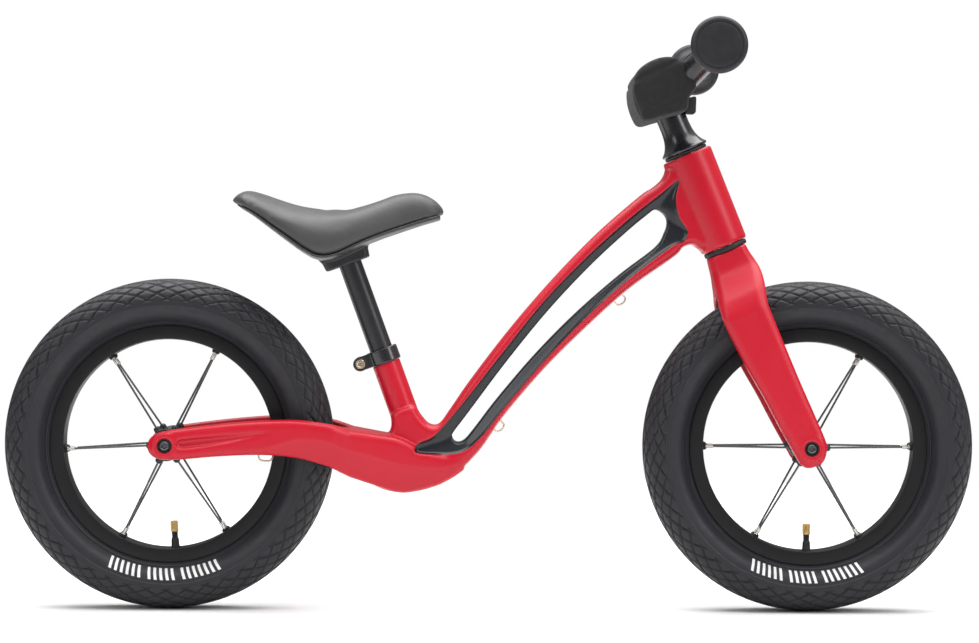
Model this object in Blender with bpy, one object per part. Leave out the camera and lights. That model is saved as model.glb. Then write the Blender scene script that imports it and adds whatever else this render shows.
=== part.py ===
"""Balance bike with a cast frame, 12-inch wheels, a T-shaped handlebar and a clamped seat post.

X points forward, Y to the rider's left and Z up. The origin is on the ground, midway between the
hubs. Lengths are in millimetres until make() and the empties turn them into metres.
"""

import math

import bmesh
import bpy
from mathutils import Matrix, Vector

MM = 0.001
GAP = 0.3

# Overall sizes
WHEELBASE = 616.0
TYRE_RADIUS = 159.0
HANDLEBAR_WIDTH = 380.0
STEERING_LEAN = 22.8
SEAT_LEAN = 20.1

# Wheels
TYRE_WIDTH = 60.0
RIM_INNER_RADIUS = 101.0
RIM_FLANGE_RADIUS = RIM_INNER_RADIUS + 13.0
RIM_WIDTH = 27.6
SPOKE_DIAMETER = 2.0
SPOKE_ANGLES = 6
REAR_SPOKE_TURN = 3.3
HUB_FLANGE_RADIUS = 17.7
HUB_FLANGE_SPREAD = 24.0
HUB_HALF_LENGTH = 34.0
HUB_BEARING_RADIUS = 12.7
AXLE_DIAMETER = 10.0
AXLE_BOLT_DIAMETER = 6.0
AXLE_BOLT_HEAD_RADIUS = 5.0
VALVE_RADIUS = 3.8
VALVE_EXPOSED = 15.0
VALVE_CAP_LENGTH = 10.5

# Fork, measured from the front hub along the steering axis
DROPOUT_INNER = HUB_HALF_LENGTH + 3.0
DROPOUT_OUTER = DROPOUT_INNER + 13.0
CROWN_CLEARANCE = 7.0
CROWN_TOP = TYRE_RADIUS + 45.0
BLADE_WIDTH = 41.0
STEERER_RADIUS = 12.5

# Head tube
HEAD_LOW = CROWN_TOP + 5.0
HEAD_LENGTH = 95.5
BEARING_SEAT_RADIUS = STEERER_RADIUS + 6.8
BEARING_SEAT_DEPTH = 14.0
HEAD_RADIUS = BEARING_SEAT_RADIUS + 4.6

# Handlebar, measured in the same way
BAR_RADIUS = 12.7
GRIP_BAR_RADIUS = 11.1
STEM_RADIUS = STEERER_RADIUS + 1.8
BAR_FORWARD = 52.7
BAR_RISE = 22.5
GRIP_LENGTH = 82.0
GRIP_END_RADIUS = 26.0
PAD_HALF_WIDTH = 80.0

# Frame
FOOT_AHEAD_OF_TYRE = 82.0
FOOT_DROP = 9.0
BEAM_HALF_WIDTH = 18.0
SEAT_POST_RADIUS = 11.1
SEAT_TUBE_RADIUS = SEAT_POST_RADIUS + 2.6
SEAT_TUBE_LENGTH = 96.7
SEAT_POST_RISE = 88.0
CLAMP_HEIGHT = 14.3

HUB_Z = TYRE_RADIUS
REAR_X = -WHEELBASE / 2
FRONT_X = WHEELBASE / 2
FOOT_X = REAR_X + TYRE_RADIUS + FOOT_AHEAD_OF_TYRE
FOOT_Z = HUB_Z - FOOT_DROP
HEAD_HIGH = HEAD_LOW + HEAD_LENGTH
STEM_FOOT = HEAD_HIGH + 3.8
BAR_HEIGHT = STEM_FOOT + 52.7
BAR_END = HANDLEBAR_WIDTH / 2


# ---- Reference frames in the side view

def steering_point(across, along):
    """Side-view point from its place across and along the steering axis."""
    lean = math.radians(STEERING_LEAN)
    x = FRONT_X + across * math.cos(lean) - along * math.sin(lean)
    z = HUB_Z + across * math.sin(lean) + along * math.cos(lean)
    return x, z


def seat_point(across, along):
    """Side-view point from its place across and along the seat axis, from the seat tube's top."""
    lean = math.radians(SEAT_LEAN)
    along += SEAT_TUBE_LENGTH
    x = FOOT_X + across * math.cos(lean) - along * math.sin(lean)
    z = FOOT_Z + across * math.sin(lean) + along * math.cos(lean)
    return x, z


def beam_point(share, off):
    """Side-view point at a share of the way from the foot to the head tube, and off that line."""
    foot = Vector((FOOT_X, FOOT_Z))
    head = Vector(steering_point(0, (HEAD_LOW + HEAD_HIGH) / 2))
    way = (head - foot).normalized()
    point = foot.lerp(head, share) + off * Vector((-way.y, way.x))
    return point.x, point.y


def foot_point(x, z):
    return FOOT_X + x, FOOT_Z + z


# ---- Curves and outlines

def smooth(points, steps, closed=False):
    """Catmull-Rom curve through points of any dimension."""
    count = len(points)
    spans = count if closed else count - 1
    curve = []
    for i in range(spans):
        if closed:
            four = [points[(i + k - 1) % count] for k in range(4)]
        else:
            four = [points[min(max(i + k - 1, 0), count - 1)] for k in range(4)]
        for step in range(steps):
            t = step / steps
            curve.append(tuple(
                0.5 * (2 * b + (c - a) * t + (2 * a - 5 * b + 4 * c - d) * t * t
                       + (3 * b - a - 3 * c + d) * t ** 3)
                for a, b, c, d in zip(*four)))
    if not closed:
        curve.append(tuple(points[-1]))
    return curve


def rounded(corners):
    """Polygon of (x, y, radius) corners with each corner drawn as three points of a curve."""
    points = []
    for i, (x, y, radius) in enumerate(corners):
        corner = Vector((x, y))
        before = Vector(corners[i - 1][:2]) - corner
        after = Vector(corners[(i + 1) % len(corners)][:2]) - corner
        reach_in = min(radius, 0.45 * before.length)
        reach_out = min(radius, 0.45 * after.length)
        start = corner + before.normalized() * reach_in
        end = corner + after.normalized() * reach_out
        points += [start, 0.5 * corner + 0.25 * (start + end), end]
    return [(point.x, point.y) for point in points]


def inset(outline, distance):
    """Closed outline moved inwards, each point along its own normal."""
    area = sum(a[0] * b[1] - b[0] * a[1] for a, b in zip(outline, outline[1:] + outline[:1]))
    side = math.copysign(distance, area)
    moved = []
    for i, (x, y) in enumerate(outline):
        before = Vector(outline[i - 1])
        after = Vector(outline[(i + 1) % len(outline)])
        way = (after - before).normalized()
        moved.append((x - side * way.y, y + side * way.x))
    return moved


# ---- Objects

def material(name, colour, roughness, metallic=0.0):
    made = bpy.data.materials.new(name)
    made.use_nodes = True
    shader = made.node_tree.nodes["Principled BSDF"]
    shader.inputs["Base Color"].default_value = (*colour, 1)
    shader.inputs["Roughness"].default_value = roughness
    shader.inputs["Metallic"].default_value = metallic
    return made


def make(name, bm, look, parent=None):
    """Object from a bmesh in millimetres."""
    bmesh.ops.recalc_face_normals(bm, faces=bm.faces)
    if bm.calc_volume(signed=True) < 0:
        bmesh.ops.reverse_faces(bm, faces=bm.faces)
    bmesh.ops.scale(bm, vec=(MM, MM, MM), verts=bm.verts)
    mesh = bpy.data.meshes.new(name)
    bm.to_mesh(mesh)
    bm.free()
    mesh.shade_smooth()
    mesh.set_sharp_from_angle(angle=math.radians(35))
    mesh.materials.append(look)
    made = bpy.data.objects.new(name, mesh)
    bpy.context.scene.collection.objects.link(made)
    made.parent = parent
    return made


def loft(rings, closed=False):
    """Bmesh of a skin over rings of 3-D points, with flat ends unless it closes on itself."""
    bm = bmesh.new()
    rows = [[bm.verts.new(point) for point in ring] for ring in rings]
    pairs = list(zip(rows, rows[1:]))
    if closed:
        pairs.append((rows[-1], rows[0]))
    for first, second in pairs:
        for i in range(len(first)):
            j = (i + 1) % len(first)
            bm.faces.new((first[i], first[j], second[j], second[i]))
    if not closed:
        bm.faces.new(rows[0][::-1])
        bm.faces.new(rows[-1])
    return bm


def turned(profile, segments, along="Z", centre=(0, 0, 0)):
    """Bmesh of a closed (radius, height) profile spun about an axis. A radius of 0 ends in a flat cap."""
    bm = bmesh.new()
    turn = 2 * math.pi / segments
    rows = []
    for radius, height in profile:
        rows.append([bm.verts.new((radius * math.cos(turn * i), radius * math.sin(turn * i), height))
                     for i in range(segments)] if radius else [])
    for first, second in zip(rows, rows[1:] + rows[:1]):
        if first and second:
            for i in range(segments):
                j = (i + 1) % segments
                bm.faces.new((first[i], first[j], second[j], second[i]))
        elif first or second:
            bm.faces.new(first or second)
    if along == "Y":
        bmesh.ops.rotate(bm, verts=bm.verts, matrix=Matrix.Rotation(math.radians(-90), 3, "X"))
    bmesh.ops.translate(bm, verts=bm.verts, vec=centre)
    return bm


def rod(radius, low, high, segments, along="Z", centre=(0, 0, 0)):
    return turned([(0, low), (radius, low), (radius, high), (0, high)], segments, along, centre)


def slab(outline, layers):
    """Bmesh of a side-view outline made thick along Y, from (y, inset) layers."""
    rings = []
    for y, amount in layers:
        shape = inset(outline, amount) if amount else outline
        rings.append([(x, y, z) for x, z in shape])
    return loft(rings)


def box(low, high):
    (x0, y0, z0), (x1, y1, z1) = low, high
    return loft([[(x0, y0, z), (x1, y0, z), (x1, y1, z), (x0, y1, z)] for z in (z0, z1)])


def combine(target, other, operation):
    """Boolean of two objects. The second stays in the scene as a hidden guide."""
    change = target.modifiers.new(other.name, "BOOLEAN")
    change.operation = operation
    change.solver = "EXACT"
    change.object = other
    other.hide_render = True
    other.display_type = "WIRE"


def join(target, other):
    combine(target, other, "UNION")


def cut(target, other):
    combine(target, other, "DIFFERENCE")


def empty(name, x, z, lean=0.0, parent=None):
    made = bpy.data.objects.new(name, None)
    made.empty_display_size = 0.03
    made.location = (x * MM, 0, z * MM)
    made.rotation_euler = (0, math.radians(lean), 0)
    made.parent = parent
    bpy.context.scene.collection.objects.link(made)
    return made


for old in list(bpy.data.objects):
    bpy.data.objects.remove(old, do_unlink=True)

RED = material("red_paint", (0.60, 0.012, 0.028), 0.32)
BLACK_PAINT = material("black_paint", (0.012, 0.012, 0.016), 0.22)
SATIN_BLACK = material("satin_black", (0.022, 0.022, 0.028), 0.38, 0.4)
TYRE = material("tyre_rubber", (0.020, 0.020, 0.024), 0.75)
TUBE = material("tube_rubber", (0.012, 0.012, 0.012), 0.6)
GRIP = material("grip_rubber", (0.030, 0.030, 0.034), 0.55)
FABRIC = material("pad_fabric", (0.035, 0.035, 0.036), 0.95)
SADDLE = material("saddle_cover", (0.085, 0.085, 0.090), 0.6)
PLASTIC = material("black_plastic", (0.018, 0.018, 0.020), 0.45)
STEEL = material("steel", (0.45, 0.44, 0.42), 0.3, 1.0)
BRASS = material("brass", (0.70, 0.48, 0.20), 0.3, 1.0)

steering = empty("steering_axis", FRONT_X, HUB_Z, -STEERING_LEAN)
seat_x, seat_z = seat_point(0, 0)
seating = empty("seat_axis", seat_x, seat_z, -SEAT_LEAN)
front_wheel = empty("front_wheel_axis", 0, 0, STEERING_LEAN, steering)
rear_wheel = empty("rear_wheel_axis", REAR_X, HUB_Z)


# ---- Frame

def beam_outline():
    """Side view of the beam, its fillets at the head tube and the seat tube, and the foot."""
    beam_top = [beam_point(share, off) for share, off in (
        (0.14, 12.5), (0.23, 20.7), (0.39, 32.2), (0.56, 40.9), (0.73, 45.7), (0.88, 45.2))]
    head_top = [steering_point(-44, HEAD_HIGH - 17), steering_point(-33, HEAD_HIGH - 13.5),
                steering_point(-27, HEAD_HIGH - 9), steering_point(-22, HEAD_HIGH - 5),
                steering_point(-6, HEAD_HIGH - 14)]
    head_low = [steering_point(-6, HEAD_LOW + 16), steering_point(-20, HEAD_LOW + 4),
                steering_point(-25, HEAD_LOW + 8), steering_point(-28.5, HEAD_LOW + 13.5),
                steering_point(-38, HEAD_LOW + 14.5)]
    beam_low = [beam_point(share, off) for share, off in (
        (0.84, -20.3), (0.70, -14.8), (0.55, -15.1), (0.39, -18.6), (0.23, -27), (0.12, -36.6))]
    foot_low = [foot_point(28, -25.5), foot_point(5, -34), foot_point(-18, -37.5), foot_point(-45, -29)]
    foot_rear = [foot_point(-62, -5), foot_point(-58, 14), foot_point(-45, 18.5)]
    seat_rear = [seat_point(-22, -67.5), seat_point(-15.5, -62), seat_point(-10, -50)]
    seat_front = [seat_point(10, -50), seat_point(14.5, -62), seat_point(19, -72.5), seat_point(28, -76)]
    corners = (beam_top + head_top + head_low + beam_low + foot_low + foot_rear + seat_rear
               + seat_front)
    return smooth(corners, 2, closed=True)


def recess_outline():
    """Edge of the black recess round the slot, on the beam's side face."""
    upper = [beam_point(share, off) for share, off in (
        (0.065, 3.6), (0.17, 8.5), (0.33, 19.2), (0.50, 30.2), (0.66, 35.1), (0.81, 35.9), (0.93, 33.6))]
    head_end = [steering_point(-17.5, HEAD_HIGH - 20), steering_point(-27, HEAD_HIGH - 36),
                steering_point(-30.3, HEAD_HIGH - 54), steering_point(-28, HEAD_LOW + 27),
                steering_point(-35.5, HEAD_LOW + 19.5)]
    lower = [beam_point(share, off) for share, off in (
        (0.85, -11.3), (0.70, -7.4), (0.55, -8.2), (0.40, -13.1), (0.25, -21), (0.15, -27.4),
        (0.08, -24.3))]
    tail = [foot_point(1, 1.5), foot_point(-2.5, 7.5), foot_point(1.5, 11.5)]
    return smooth(upper + head_end + lower + tail, 2, closed=True)


def slot_outline():
    """Edge of the slot itself, point for point beside the edge of the recess."""
    upper = [beam_point(share, off) for share, off in (
        (0.105, -6.5), (0.17, -1.6), (0.33, 10.6), (0.50, 21), (0.66, 26.6), (0.79, 27.8), (0.86, 27))]
    head_end = [beam_point(share, off) for share, off in (
        (0.884, 26), (0.893, 20), (0.893, 13), (0.883, 7.5), (0.863, 3))]
    lower = [beam_point(share, off) for share, off in (
        (0.82, -1.6), (0.70, 1.5), (0.55, 1.8), (0.40, -2), (0.25, -9.8), (0.16, -16.3), (0.118, -18.8))]
    foot_end = [beam_point(share, off) for share, off in ((0.099, -17.3), (0.092, -13.5), (0.094, -9.5))]
    return smooth(upper + head_end + lower + foot_end, 2, closed=True)


def recess_rings():
    """Rings of the cutter that makes the slot and the tapered walls of the black recess."""
    wide = BEAM_HALF_WIDTH
    layers = [(-2 * wide, 0), (0.2 - wide, 0), (3 - wide, 0.45), (6 - wide, 1), (wide - 6, 1),
              (wide - 3, 0.45), (wide - 0.2, 0), (2 * wide, 0)]
    return [[(a[0] + share * (b[0] - a[0]), y, a[1] + share * (b[1] - a[1]))
             for a, b in zip(recess_outline(), slot_outline())] for y, share in layers]


def stay_ring(side, x, top, bottom, crease, inner, outer):
    """Section of a chainstay: a rounded box whose under side leans in below a crease."""
    lean = 0.55 * (crease - bottom)
    shape = rounded([(inner, bottom, 3), (outer - lean, bottom, 3), (outer, crease, 1.2),
                     (outer, top, 6), (inner, top, 4)])
    return [(x, side * y, z) for y, z in shape]


def stay_stations():
    """(x, top, bottom, crease, inner, outer) along a chainstay, from its tip to the foot."""
    tyre_front = REAR_X + TYRE_RADIUS
    inner, outer = DROPOUT_INNER, DROPOUT_OUTER
    return [
        (REAR_X - 16.5, HUB_Z + 3, HUB_Z - 4, HUB_Z - 3, inner, outer - 5),
        (REAR_X - 14, HUB_Z + 7.5, HUB_Z - 8, HUB_Z - 6, inner, outer - 2.5),
        (REAR_X - 8, HUB_Z + 12, HUB_Z - 12, HUB_Z - 9.5, inner, outer - 0.8),
        (REAR_X + 3, HUB_Z + 14.8, HUB_Z - 13.4, HUB_Z - 10.5, inner, outer),
        (REAR_X + 20, HUB_Z + 17.4, HUB_Z - 12.6, HUB_Z - 9.5, inner, outer),
        (REAR_X + 0.346 * TYRE_RADIUS, HUB_Z + 21.7, HUB_Z - 9.6, HUB_Z - 6, inner, outer + 1),
        (REAR_X + 0.597 * TYRE_RADIUS, HUB_Z + 25, HUB_Z - 8.4, HUB_Z - 3, inner, outer + 2),
        (REAR_X + 0.805 * TYRE_RADIUS, HUB_Z + 25.2, HUB_Z - 12, HUB_Z + 6, inner, outer + 2),
        (tyre_front - 3, HUB_Z + 21.6, HUB_Z - 21, HUB_Z + 3.5, inner - 1, outer),
        (tyre_front + 7, HUB_Z + 18.8, HUB_Z - 25.5, HUB_Z - 1.5, inner - 11, outer - 3),
        (tyre_front + 13, HUB_Z + 17, HUB_Z - 28.5, HUB_Z - 3.5, inner - 30, outer - 5.5),
        (tyre_front + 18, HUB_Z + 15.5, HUB_Z - 31, HUB_Z - 5.5, -3, outer - 8),
        (FOOT_X - 43, FOOT_Z + 21, FOOT_Z - 29.5, FOOT_Z - 2, -3, outer - 14),
        (FOOT_X - 18, FOOT_Z + 16, FOOT_Z - 37, FOOT_Z - 9.5, -3, outer - 20),
        (FOOT_X + 7, FOOT_Z + 4, FOOT_Z - 34, FOOT_Z - 13, -3, outer - 25),
        (FOOT_X + 29, FOOT_Z - 1, FOOT_Z - 25, FOOT_Z - 13.6, -3, outer - 30),
        (FOOT_X + 44, FOOT_Z - 1, FOOT_Z - 15, FOOT_Z - 8, -3, outer - 34),
    ]


def axle_hole(side, x, z, parent=None):
    """Cutter for an axle bolt and the round recess of its head, through a dropout."""
    floor = DROPOUT_OUTER - 3.5
    hole = AXLE_BOLT_DIAMETER / 2 + GAP
    head = AXLE_BOLT_HEAD_RADIUS + 1.8
    profile = [(0, DROPOUT_INNER - 5), (hole, DROPOUT_INNER - 5), (hole, floor), (head, floor),
               (head, DROPOUT_OUTER + 10), (0, DROPOUT_OUTER + 10)]
    profile = [(radius, side * y) for radius, y in profile]
    return make("axle_hole_cutter", turned(profile, 16, "Y", (x, 0, z)), STEEL, parent)


def dropout_face(side, x, z, parent=None):
    """Flat round boss that the head of an axle bolt pulls against."""
    ends = sorted((side * (DROPOUT_INNER + 2), side * (DROPOUT_OUTER + 0.4)))
    return make("dropout_boss", rod(12.0, *ends, 20, "Y", (x, 0, z)), RED, parent)


beam_layers = [(-BEAM_HALF_WIDTH, 3.5), (3.5 - BEAM_HALF_WIDTH, 0), (BEAM_HALF_WIDTH - 3.5, 0),
               (BEAM_HALF_WIDTH, 3.5)]
frame = make("frame", slab(beam_outline(), beam_layers), RED)
for side in (-1, 1):
    stay = loft([stay_ring(side, *station) for station in stay_stations()])
    join(frame, make("chainstay_guide", stay, RED))
    join(frame, dropout_face(side, REAR_X, HUB_Z))
head_tube = turned([(0, HEAD_LOW), (HEAD_RADIUS - 2.2, HEAD_LOW), (HEAD_RADIUS - 0.7, HEAD_LOW + 2.5),
                    (HEAD_RADIUS + 0.7, HEAD_HIGH - 2), (HEAD_RADIUS - 0.3, HEAD_HIGH), (0, HEAD_HIGH)],
                   24)
join(frame, make("head_tube_guide", head_tube, RED, steering))
CLAMPED_RADIUS = SEAT_POST_RADIUS + 1.8
seat_tube = turned([(0, -80), (SEAT_TUBE_RADIUS, -80), (SEAT_TUBE_RADIUS, -3.6), (CLAMPED_RADIUS, -3.6),
                    (CLAMPED_RADIUS, 8), (0, 8)], 24)
join(frame, make("seat_tube_guide", seat_tube, RED, seating))
cut(frame, make("slot_cutter", loft(recess_rings()), BLACK_PAINT))
bore = BEARING_SEAT_RADIUS
middle_bore = STEERER_RADIUS + 3.5
low_step = HEAD_LOW + BEARING_SEAT_DEPTH
high_step = HEAD_HIGH - BEARING_SEAT_DEPTH
head_bore = turned([(0, HEAD_LOW - 5), (bore, HEAD_LOW - 5), (bore, low_step), (middle_bore, low_step),
                    (middle_bore, high_step), (bore, high_step), (bore, HEAD_HIGH + 5),
                    (0, HEAD_HIGH + 5)], 24)
cut(frame, make("head_bore_cutter", head_bore, RED, steering))
cut(frame, make("seat_bore_cutter", rod(SEAT_POST_RADIUS + GAP, -110, 20, 24), RED, seating))
for side in (-1, 1):
    cut(frame, axle_hole(side, REAR_X, HUB_Z))
    scoop = []
    for x, low, high in ((12, -0.5, 5.5), (14, -3, 7.5), (22, -3.5, 8.5), (50, -1.5, 10.5), (80, 2.5, 12.5)):
        depth = 2.4 - max(0, x - 22) * 0.045
        floor = side * (DROPOUT_OUTER + 1 - depth)
        face = side * (DROPOUT_OUTER + 6)
        scoop.append([(REAR_X + x, face, HUB_Z + low), (REAR_X + x, floor, HUB_Z + low + 1.5),
                      (REAR_X + x, floor, HUB_Z + high - 1.5), (REAR_X + x, face, HUB_Z + high)])
    cut(frame, make("scoop_cutter", loft(scoop), RED))


# ---- Headset, rear axle and seat clamp

RACE_RADIUS = BEARING_SEAT_RADIUS - 0.4
SEAL_RADIUS = HEAD_RADIUS - 2.5
ROUND_STEERER = STEERER_RADIUS + 0.4
lower_bearing = [(ROUND_STEERER, CROWN_TOP + GAP), (SEAL_RADIUS, CROWN_TOP + GAP),
                 (SEAL_RADIUS, HEAD_LOW - GAP), (RACE_RADIUS, HEAD_LOW - GAP),
                 (RACE_RADIUS, HEAD_LOW + 12), (ROUND_STEERER, HEAD_LOW + 12)]
make("lower_headset_bearing", turned(lower_bearing, 20), STEEL, steering)
upper_bearing = [(ROUND_STEERER, HEAD_HIGH - 12), (RACE_RADIUS, HEAD_HIGH - 12),
                 (RACE_RADIUS, HEAD_HIGH + GAP), (SEAL_RADIUS + 0.8, HEAD_HIGH + GAP),
                 (SEAL_RADIUS + 0.8, STEM_FOOT - GAP), (ROUND_STEERER, STEM_FOOT - GAP)]
make("upper_headset_bearing", turned(upper_bearing, 20), STEEL, steering)


def axle(name, parent):
    """Axle with a threaded hole in each end and a shoulder that spaces the hub from the dropout."""
    radius = AXLE_DIAMETER / 2
    thread = AXLE_BOLT_DIAMETER / 2 + GAP
    end = DROPOUT_INNER - GAP
    half = [(0, end - 20), (thread, end - 20), (thread, end), (7.5, end), (7.5, HUB_HALF_LENGTH + 0.5),
            (radius, HUB_HALF_LENGTH + 0.5)]
    profile = [(r, -y) for r, y in half] + [(r, y) for r, y in reversed(half)]
    make(name, turned(profile, 12, "Y"), STEEL, parent)


def axle_bolt(name, side, parent):
    under = DROPOUT_OUTER - 3.5 + GAP
    radius = AXLE_BOLT_DIAMETER / 2
    profile = [(0, DROPOUT_INNER - 15), (radius, DROPOUT_INNER - 15), (radius, under),
               (AXLE_BOLT_HEAD_RADIUS, under), (AXLE_BOLT_HEAD_RADIUS, under + 3.4),
               (AXLE_BOLT_HEAD_RADIUS - 0.7, under + 4.2), (2.9, under + 4.2), (2.9, under + 1.6),
               (0, under + 1.6)]
    profile = [(r, side * y) for r, y in profile]
    make(name, turned(profile, 12, "Y"), STEEL, parent)


axle("rear_axle", rear_wheel)
axle_bolt("rear_axle_bolt_right", -1, rear_wheel)
axle_bolt("rear_axle_bolt_left", 1, rear_wheel)

CLAMP_LOW = -3.3
CLAMP_MIDDLE = CLAMP_LOW + CLAMP_HEIGHT / 2
CLAMP_BOLT_BACK = -SEAT_POST_RADIUS - 12.4
EAR_HALF_WIDTH = 10.0
clamp = make("seat_clamp", rod(SEAT_POST_RADIUS + 3.5, CLAMP_LOW, CLAMP_LOW + CLAMP_HEIGHT, 24),
             SATIN_BLACK, seating)
ear = box((CLAMP_BOLT_BACK, -EAR_HALF_WIDTH, CLAMP_MIDDLE - 6.9), (-5, EAR_HALF_WIDTH, CLAMP_MIDDLE + 6.9))
join(clamp, make("clamp_ear_guide", ear, SATIN_BLACK, seating))
ear_end = rod(6.9, -EAR_HALF_WIDTH, EAR_HALF_WIDTH, 16, "Y", (CLAMP_BOLT_BACK, 0, CLAMP_MIDDLE))
join(clamp, make("clamp_ear_end_guide", ear_end, SATIN_BLACK, seating))
clamp_bore = rod(CLAMPED_RADIUS + GAP, CLAMP_LOW - 5, CLAMP_LOW + CLAMP_HEIGHT + 5, 24)
cut(clamp, make("clamp_bore_cutter", clamp_bore, SATIN_BLACK, seating))
split = box((CLAMP_BOLT_BACK - 12, -1.2, CLAMP_LOW - 5), (-8, 1.2, CLAMP_LOW + CLAMP_HEIGHT + 5))
cut(clamp, make("clamp_split_cutter", split, SATIN_BLACK, seating))
bolt_way = turned([(0, -15), (5.4, -15), (5.4, -5), (2.8, -5), (2.8, 15), (0, 15)], 12, "Y",
                  (CLAMP_BOLT_BACK, 0, CLAMP_MIDDLE))
cut(clamp, make("clamp_bolt_cutter", bolt_way, SATIN_BLACK, seating))
clamp_bolt = [(0, 9.5), (2.5, 9.5), (2.5, -5.3), (5, -5.3), (5, -9.6), (4.2, -10.4), (2.4, -10.4),
              (2.4, -7.6), (0, -7.6)]
make("seat_clamp_bolt", turned(clamp_bolt, 12, "Y", (CLAMP_BOLT_BACK, 0, CLAMP_MIDDLE)), STEEL, seating)


# ---- Seat

POST_LOW = -52.0
BASE_LOW = CLAMP_LOW + CLAMP_HEIGHT + SEAT_POST_RISE
post_bore = SEAT_POST_RADIUS - 1.8
post = [(post_bore, POST_LOW), (SEAT_POST_RADIUS, POST_LOW), (SEAT_POST_RADIUS, BASE_LOW + 9),
        (post_bore, BASE_LOW + 9)]
make("seat_post", turned(post, 24), SATIN_BLACK, seating)

# Saddle sections: under point and top point (across, along from the base), and half width.
# SADDLE_RISE shapes each one, as shares of its half width and of its height.
SADDLE_SECTIONS = [
    (-83, 90.5, -86, 95, 24), (-77, 85, -79.5, 98.3, 45), (-69, 76.5, -67, 98.2, 54),
    (-57, 59.5, -49, 83.5, 58), (-45, 42, -30, 68.8, 60), (-33, 25, -12, 58.5, 60),
    (-23, 15.5, 3, 52.7, 58), (-8, 12, 17, 49, 54), (15, 14.2, 33, 47.2, 47), (38, 15.2, 49, 46.8, 38),
    (60, 15, 66, 46.6, 30), (80, 14.4, 85, 41.2, 25), (93, 13.5, 97.5, 29.5, 20), (101, 13, 102.8, 17, 11)]
SADDLE_RISE = [(0.93, 0), (1, 0.14), (0.98, 0.45), (0.86, 0.74), (0.6, 0.91), (0.3, 0.98), (0, 1)]


def saddle_ring(section):
    """Section of the cushion, from its under side up to its crown."""
    low_s, low_t, top_s, top_t, half = section
    points = SADDLE_RISE + [(-y, h) for y, h in reversed(SADDLE_RISE) if y]
    return [(low_s + h * (top_s - low_s), y * half, BASE_LOW + low_t + h * (top_t - low_t))
            for y, h in points]


make("saddle_pad", loft([saddle_ring(section) for section in SADDLE_SECTIONS]), SADDLE, seating)


def base_ring(section):
    """Thin shell under the cushion, along the same sections."""
    low_s, low_t, top_s, top_t, half = section
    way = Vector((top_s - low_s, top_t - low_t)).normalized()
    ring = []
    for off, share in ((2 * GAP, 0.5), (2 * GAP, 0.9), (4.5, 0.86), (4.5, 0.5)):
        ring.append((low_s - off * way.x, share * half, BASE_LOW + low_t - off * way.y))
    return ring + [(x, -y, z) for x, y, z in reversed(ring)]


base = make("saddle_base", loft([base_ring(section) for section in SADDLE_SECTIONS[1:-1]]), PLASTIC,
            seating)
block = loft([
    [(x, y, BASE_LOW + z) for x, y in rounded([(-24 - lean, -17, 5), (20 + lean, -15, 5),
                                              (20 + lean, 15, 5), (-24 - lean, 17, 5)])]
    for z, lean in ((0, 0), (8, 1), (11, 2.7))])
join(base, make("saddle_block_guide", block, PLASTIC, seating))
cut(base, make("saddle_socket_cutter", rod(SEAT_POST_RADIUS + GAP, BASE_LOW - 5, BASE_LOW + 9 + GAP, 24),
               PLASTIC, seating))


# ---- Fork

def fork_ring(along, rear, front, outer, chamfer, roundness):
    """Section of the fork across the steering axis: a box with chamfered front edges, or a circle."""
    dip = 0.45 * chamfer
    shape = rounded([(rear, -outer, 6), (front - chamfer, -outer, 2), (front, dip - outer, 3),
                     (front, outer - dip, 3), (front - chamfer, outer, 2), (rear, outer, 6)])
    middle = (rear + front) / 2
    radius = (front - rear) / 2
    ring = []
    for x, y in shape:
        angle = math.atan2(y / outer, (x - middle) / radius)
        round_x, round_y = middle + radius * math.cos(angle), outer * math.sin(angle)
        ring.append((x + roundness * (round_x - x), y + roundness * (round_y - y), along))
    return ring


def fork_stations():
    """(along, rear, front, outer, chamfer, roundness) from the dropout tips to the crown top."""
    outer = DROPOUT_OUTER
    half = BLADE_WIDTH / 2
    tyre = TYRE_RADIUS
    return [
        (-17, -8, 3, outer - 4, 1.5, 0),
        (-14.5, -12.5, 7.5, outer - 2, 3, 0),
        (-8, -16, 12.5, outer - 0.6, 4.5, 0),
        (0, -17, 15.4, outer, 6, 0),
        (30, -half, 15.2, outer, 7, 0),
        (62, -half - 3, 14.5, outer, 7.5, 0),
        (tyre - 69, -half - 6.7, 14.4, outer, 7.5, 0),
        (tyre - 45, -half - 9, 14.4, outer, 7.5, 0),
        (tyre - 24, -half - 10.5, 14.6, outer, 8, 0),
        (tyre - 13, -half - 10.8, 15.5, outer, 9, 0.05),
        (tyre, -half - 9.8, 20.5, outer - 3.5, 10, 0.25),
        (tyre + 10, -half - 8.6, 24.4, outer - 9.5, 9, 0.5),
        (tyre + 19, -half - 8.2, 26.8, outer - 16.5, 7, 0.75),
        (tyre + 27, -half - 7, 27, outer - 22, 5, 0.95),
        (CROWN_TOP - 9, -HEAD_RADIUS - 1.9, HEAD_RADIUS + 1.1, HEAD_RADIUS + 1.4, 4, 1),
        (CROWN_TOP, 0.1 - HEAD_RADIUS, HEAD_RADIUS - 0.3, HEAD_RADIUS - 0.2, 4, 1),
    ]


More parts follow.
